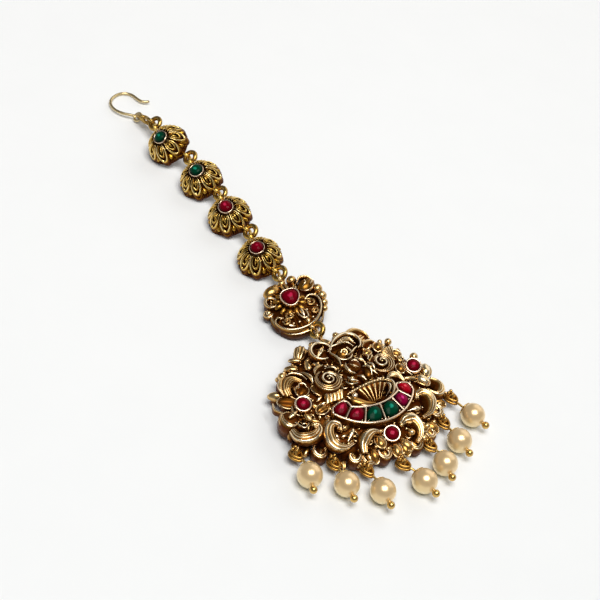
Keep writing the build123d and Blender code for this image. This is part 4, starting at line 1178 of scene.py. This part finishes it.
def cushion(k, square):
    # a superellipse in the cell: |s|ⁿ + |d|ⁿ = size, its level rise·(1 - size²)^½ over the wall's top
    turn = around(56)
    size = np.array([0.02, 0.9, 1.0, 1.0, 0.985, 0.95, 0.89, 0.80, 0.68, 0.52, 0.35, 0.18, 0.03])[:, None]
    rise = c["stoneRise"] * np.sqrt(1 - size**2)
    rise[:4, 0] = (-0.7, -0.7, -0.6, -0.08)           # its underside and girdle
    power = 2 / (2 + (square - 2) * size**2)
    s, d = (np.sign(v) * np.abs(v) ** power for v in (np.cos(turn), np.sin(turn)))
    first, last = c["ends"][0] if k == 0 else k, c["ends"][1] if k == 5 else k + 1
    middle, half = (first + last) / 2, (last - first) / 2
    cell = cellPoint([first, last, middle, middle], [0.5, 0.5, 0, 1], 0)
    wide, tall = (np.linalg.norm(cell[i] - cell[i + 1]) / 2 for i in (0, 2))
    edge = c["wallWidth"] + 0.05
    points = cellPoint(middle + half * (1 - edge / wide) * size * s, 0.5 + 0.5 * (1 - edge / tall) * size * d,
                       c["top"] + rise * np.where(rise > 0, 1 - c["skew"] * size * d, 1))
    # wearAndShading runs from 0 at the edge to 1 in the middle: painted shade to painted highlight
    return shell(points, 1 - size**2)


# the end cells bow out: reach = ray + bow·sin^0.7(π·across)
rays, across = np.linspace(0, 6, 73), np.linspace(0, 1, 12)
bows = {k: (end - k) * np.sin(np.pi * across) ** 0.7 for k, end in zip((0, 6), c["ends"])}
reach = (rays[:, None] + np.clip(1 - rays, 0, 1)[:, None] * bows[0]
         + np.clip(rays - 5, 0, 1)[:, None] * bows[6])
frameParts = [slab(cellPoint(reach, across[None], c["top"] - 0.65), c["foot"], 0.05)]
frameParts += [wall(cellPoint(rays, side, c["top"]), c["wallWidth"]) for side in (0.0, 1.0)]
frameParts += [wall(cellPoint(k + bows.get(k, 0 * across), across, c["top"]), c["wallWidth"] * 0.9)
               for k in range(7)]
frameParts += [ball(cellPoint(k + s, d, c["top"] - 0.05), 0.17, rows=6, cols=10, pale=0.6)
               for k in range(1, 5) for s, d in ((0.17, 0.86), (0.84, 0.85))]
for k, finish in enumerate((rubyGem, rubyGem, emeraldGem, emeraldGem, roseGem, scarletGem)):
    slotName = "emerald" if finish is emeraldGem else "ruby"
    makePiece(f"arcStone{k + 1}", [cushion(k, c["squareness"][k])], finish, [f"arc_stone_{k + 1}"])

# the three round rubies in their collets
for node, slope in c["colletSlopes"].items():
    x, y, _ = centreOf(node)
    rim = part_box(node)[1][2] / mm - 0.6
    tilt = leaned(x, y, rim - 0.4, slope)
    frameParts.append(moved(collet(x, y, rim=rim, **c["collet"]), tilt))
    part = cabochon(c["collet"]["bore"], rim - 0.9, rim - 0.12, rim + 0.5)
    part["points"][:, :2] += (x, y)
    makePiece("ruby" + node[5:].capitalize(), [moved(part, tilt)], rubyGem, [node])


filling = dict(columns=np.arange(-9, 10) * 1.75, rows=np.arange(-8, 9) * 1.65, stray=0.5, limit=0.97)


def fillGround():
    # a loose net of small curls, buds and seeds lies over the ground, each moved a little off its place
    parts = []
    columns, rows = np.meshgrid(filling["columns"], filling["rows"])
    for spot in zip(columns.ravel(), rows.ravel()):
        x, y = (v + rng.uniform(-filling["stray"], filling["stray"]) for v in spot)
        kind, azimuth, size = rng.integers(0, 4), rng.uniform(0, 360), rng.uniform(0.8, 1.15)
        reach = groundReach(x, y - pendant["middleY"])
        level = groundLevel(reach)
        if reach > filling["limit"]:
            continue
        if kind == 0:
            path = spiral(x, y, 0.85 * size, 0.2, azimuth, azimuth + 380, level + 0.1, level + 0.6, count=26)
            parts.append(ribbed(path, np.linspace(0.24, 0.14, 26), 0.36, 1, 0.8, cols=7))
        elif kind == 3:
            parts.append(ball((x, y, level + 0.35), 0.34 * size, rows=7, cols=10))
        else:
            parts.append(bud((x, y, level + 0.1), 1.15 * size, 0.62 * size, 0.8 * size, azimuth,
                             ribs=3 if kind == 1 else 0, rows=10, cols=18))
    return parts


plateParts = [pendantGround()] + fillGround()
# rim loops for the drops: each lies on the line from its drop's eye to its root in the rim
lugs = dict(radius=0.82, wire=0.26, inward=1.2, level=2.5)
eyes = [(-19.2, -7.4), (-13.4, -12.0), (-8.3, -16.0), (-0.9, -17.6), (6.8, -15.9), (12.9, -12.2), (18.3, -7.5)]
roots = [(-15.3, -3.9), (-12.6, -7.3), (-8.6, -10.5), (0.0, -13.6), (4.3, -12.0), (12.6, -7.3), (15.3, -3.9)]
for (ex, ey), (rx, ry) in zip(eyes, roots):
    inward = unit(np.array([rx - ex, ry - ey, 0.0]))
    middle = np.array([ex, ey, lugs["level"]]) + inward * lugs["inward"]
    start = middle + inward * lugs["radius"]
    tail = curve([start, (start + (rx, ry, 2.2)) / 2, (rx, ry, 2.0)], 12)
    plateParts += [ring(middle, np.cross(inward, (0, 0, 1)), lugs["radius"], lugs["wire"], wearAndShading=0.7, count=36),
                   wire(tail, 0.3, wearAndShading=0.6)]
plateParts += linkLoop(centreOf("link_ring_5"), -1, np.array([1.2, 13.4, 2.6]))

groups = dict(pendantPlate=plateParts, pendantLeaves=leafParts + lineParts, pendantBuds=budParts + ballParts,
              pendantScrolls=scrollParts, pendantFigure=figureParts, pendantFrame=frameParts)
shade([p for group in groups.values() for p in group], **pendant["shade"])
for name, group in groups.items():
    makePiece(name, group, oldGold, ["pendant"])

# Drops. Each headpin's eye lies flat, and its pearl hangs on it in its own direction.

drop = dict(
    turns=(-19.5, -9, -7, 6, -12, 0, 15),                   # degrees from straight down
    level=2.5,
    strands=((1.32, -0.35, 0.0, 0.30), (1.15, 0.42, 0.04, 0.27)),     # radius, level, shift, thickness
    knot=((0.02, 1.4), (0.7, 1.5), (0.85, 2.0), (0.65, 3.0), (0.02, 3.2)),
    crossed=((62, 0.95, 3.5), (-48, 1.0, 3.9), (8, 0.6, 4.0)),        # direction, half length, level
    neck=1.35,
    wire=0.25,
    pearlRadius=2.5,
    capRadius=2.66,
    capReach=(4, 34),         # degrees round the pearl from its mouth
    ballRadius=0.78,
)
d = drop


def pinParts(eye, bead, axis):
    # the eye is a teardrop of strands lying on each other:
    # along = radius·cos t·(1 + 0.22·cos⁴(t/2)), across = 0.8·radius·sin t·(1 - 0.25·cos⁴(t/2))
    mouth = bead - axis * (d["pearlRadius"] + 0.08)
    toward = unit(mouth - eye)
    across = np.cross((0, 0, 1), toward)
    parts = []
    t = around(56)[:, None]
    for radius, level, shift, thickness in d["strands"]:
        along = radius * np.cos(t) * (1 + 0.22 * np.cos(t / 2) ** 4) + shift
        side = 0.80 * radius * np.sin(t) * (1 - 0.25 * np.cos(t / 2) ** 4)
        path = eye + along * toward + side * across + np.array([0, 0, level])
        parts.append(wire(path, thickness, loop=True, wearAndShading=0.50, cols=10))
    # strands crossed over the eye's hole, and a dark knot under them: patina and painted shade
    parts.append(lathe(d["knot"], (eye[0], eye[1], 0), 20, 0.03))
    for bend, reach, level in d["crossed"]:
        strand = reach * (toward * np.cos(radians(bend)) + across * np.sin(radians(bend)))
        ends = [eye + strand * way + (0, 0, 0.2) for way in (-1, 1)]
        bowed = curve([ends[0], eye + (0, 0, level - d["level"]), ends[1]], 14)
        parts.append(wire(bowed, d["wire"], wearAndShading=0.60, cols=8))
    parts += [ball(eye - toward * 0.72 + across * shift + (0, 0, 1.25), 0.36, rows=8, cols=12, wearAndShading=0.6)
              for shift in (0.38, -0.38)]
    start = eye + toward * d["neck"]
    neck = curve([start, (start + mouth) / 2, mouth + axis * 0.3], 12)
    parts.append(wire(neck, d["wire"], wearAndShading=0.8, cols=10))
    # cap round the pearl's mouth: a slice of a slightly larger sphere
    r = d["capRadius"]
    a = np.radians(np.linspace(*d["capReach"], 10))
    cap = r * np.stack([np.sin(a), np.cos(a)], -1)
    edge = [(r - 0.14) * np.sin(a[-1]), (r - 0.16) * np.cos(a[-1])]
    lie = np.eye(4)
    lie[:3, 1], lie[:3, 2], lie[:3, 3] = (0, 0, 1), -axis, bead
    lie[:3, 0] = np.cross(lie[:3, 1], lie[:3, 2])
    profile = np.vstack([[0.01, r], cap, edge, cap[::-1] * 0.965, [0.01, r - 0.11]])
    parts.append(moved(lathe(profile, cols=32, wearAndShading=0.85), lie))
    foot = bead + axis * (d["pearlRadius"] + 0.06 + d["ballRadius"])
    return parts + [ball(foot, d["ballRadius"], rows=18, cols=28, wearAndShading=0.72),
                    ring(foot - axis * 0.72, axis, 0.30, 0.12, count=20, cols=8)]


for k, ((ex, ey), turn) in enumerate(zip(eyes, d["turns"])):
    axis = np.array([np.sin(radians(turn)), -np.cos(radians(turn)), 0.0])
    parts = pinParts(np.array([ex, ey, d["level"]]), centreOf(f"pearl_{k + 1}"), axis)
    makePiece(f"pin{k + 1}", parts, pinGold, [f"headpin_{k + 1}"])

# Floor, light and camera.

stage = dict(
    floorSize=3.0,
    floorTones=((0.0, (0.735, 0.758, 0.772)), (0.9, (0.965, 0.982, 0.995))),
    floorPaintedLightRise=2.5,            # painted light: the floor is a touch paler towards the back
    floorStart=0.3,
    mottle=0.1,
    aim=(0.0, 0.04, 0.0),
    lamps=dict(               # place, size, power, colour
        key=((-0.075, -0.17, 0.80), (0.58, 0.46), 6.9, (1.0, 0.98, 0.95)),
        side=((0.95, 0.35, 0.65), (1.3, 1.0), 4.4, (1.0, 0.97, 0.92)),
    ),
    sky=((0.0, (0.97, 0.98, 1.0)), (0.7, (0.30, 0.30, 0.31))),      # pale at the horizon, dimmer overhead
    skyStrength=0.36,
    camera=(-112.93, -108.18, 172.0),
    right=(0.8471, -0.5018, 0.1748),
    forward=(0.470, 0.554, -0.6872),
    lens=68.29,
    sensor=36.0,
    clip=(0.005, 20.0),
)


def standing(side, up, back, position):
    # a frame with these three axes at a position
    turned = Matrix(np.stack([side, up, back], 1).tolist()).to_4x4()
    turned.translation = position
    return turned


half = stage["floorSize"] / 2
corners = [(-half, -half, 0), (half, -half, 0), (half, half, 0), (-half, half, 0)]
floorMesh = bpy.data.meshes.new("floor")
floorMesh.from_pydata(corners, [], [(0, 1, 2, 3)])
floor = placed("floor", floorMesh)
paper, tree, shader = newMaterial("pale floor")
# level = floorStart + floorPaintedLightRise·y + mottle·noise; paler towards the back is painted light
mottle = arithmetic(tree, "MULTIPLY", noise(tree, 60.0), stage["mottle"])
level = arithmetic(tree, "MULTIPLY_ADD", coordinate(tree, "Y"), stage["floorPaintedLightRise"], stage["floorStart"])
level = arithmetic(tree, "ADD", level, mottle, clamp=True)
tree.links.new(ramp(tree, level, stage["floorTones"]), shader.inputs["Base Color"])
setInputs(shader, {"Roughness": 0.6})
floorMesh.materials.append(paper)

for name, (position, size, power, colour) in stage["lamps"].items():
    lamp = bpy.data.lights.new(name, "AREA")
    lamp.shape = "RECTANGLE"
    lamp.size, lamp.size_y = size
    lamp.energy = power
    lamp.color = colour
    back = unit(np.array(position) - np.array(stage["aim"]))
    side = unit(np.cross((0, 0, 1), back))
    placed(name, lamp).matrix_world = standing(side, np.cross(back, side), back, position)

world = bpy.data.worlds.new("studio")
bpy.context.scene.world = world
world.use_nodes = True
tree = world.node_tree
background = tree.nodes["Background"]
sky = ramp(tree, coordinate(tree, "Z", "Generated"), stage["sky"])
tree.links.new(sky, background.inputs["Color"])
setInputs(background, {"Strength": stage["skyStrength"]})

cameraData = bpy.data.cameras.new("camera")
cameraData.lens = stage["lens"]
cameraData.sensor_width = stage["sensor"]
cameraData.clip_start, cameraData.clip_end = stage["clip"]
camera = placed("camera", cameraData)
forward = unit(np.array(stage["forward"]))
right = np.array(stage["right"])
right = unit(right - (right @ forward) * forward)
camera.matrix_world = standing(right, np.cross(right, forward), -forward, [v * mm for v in stage["camera"]])
bpy.context.scene.camera = camera
bpy.context.scene.view_settings.view_transform = "Standard"
print("stage set")
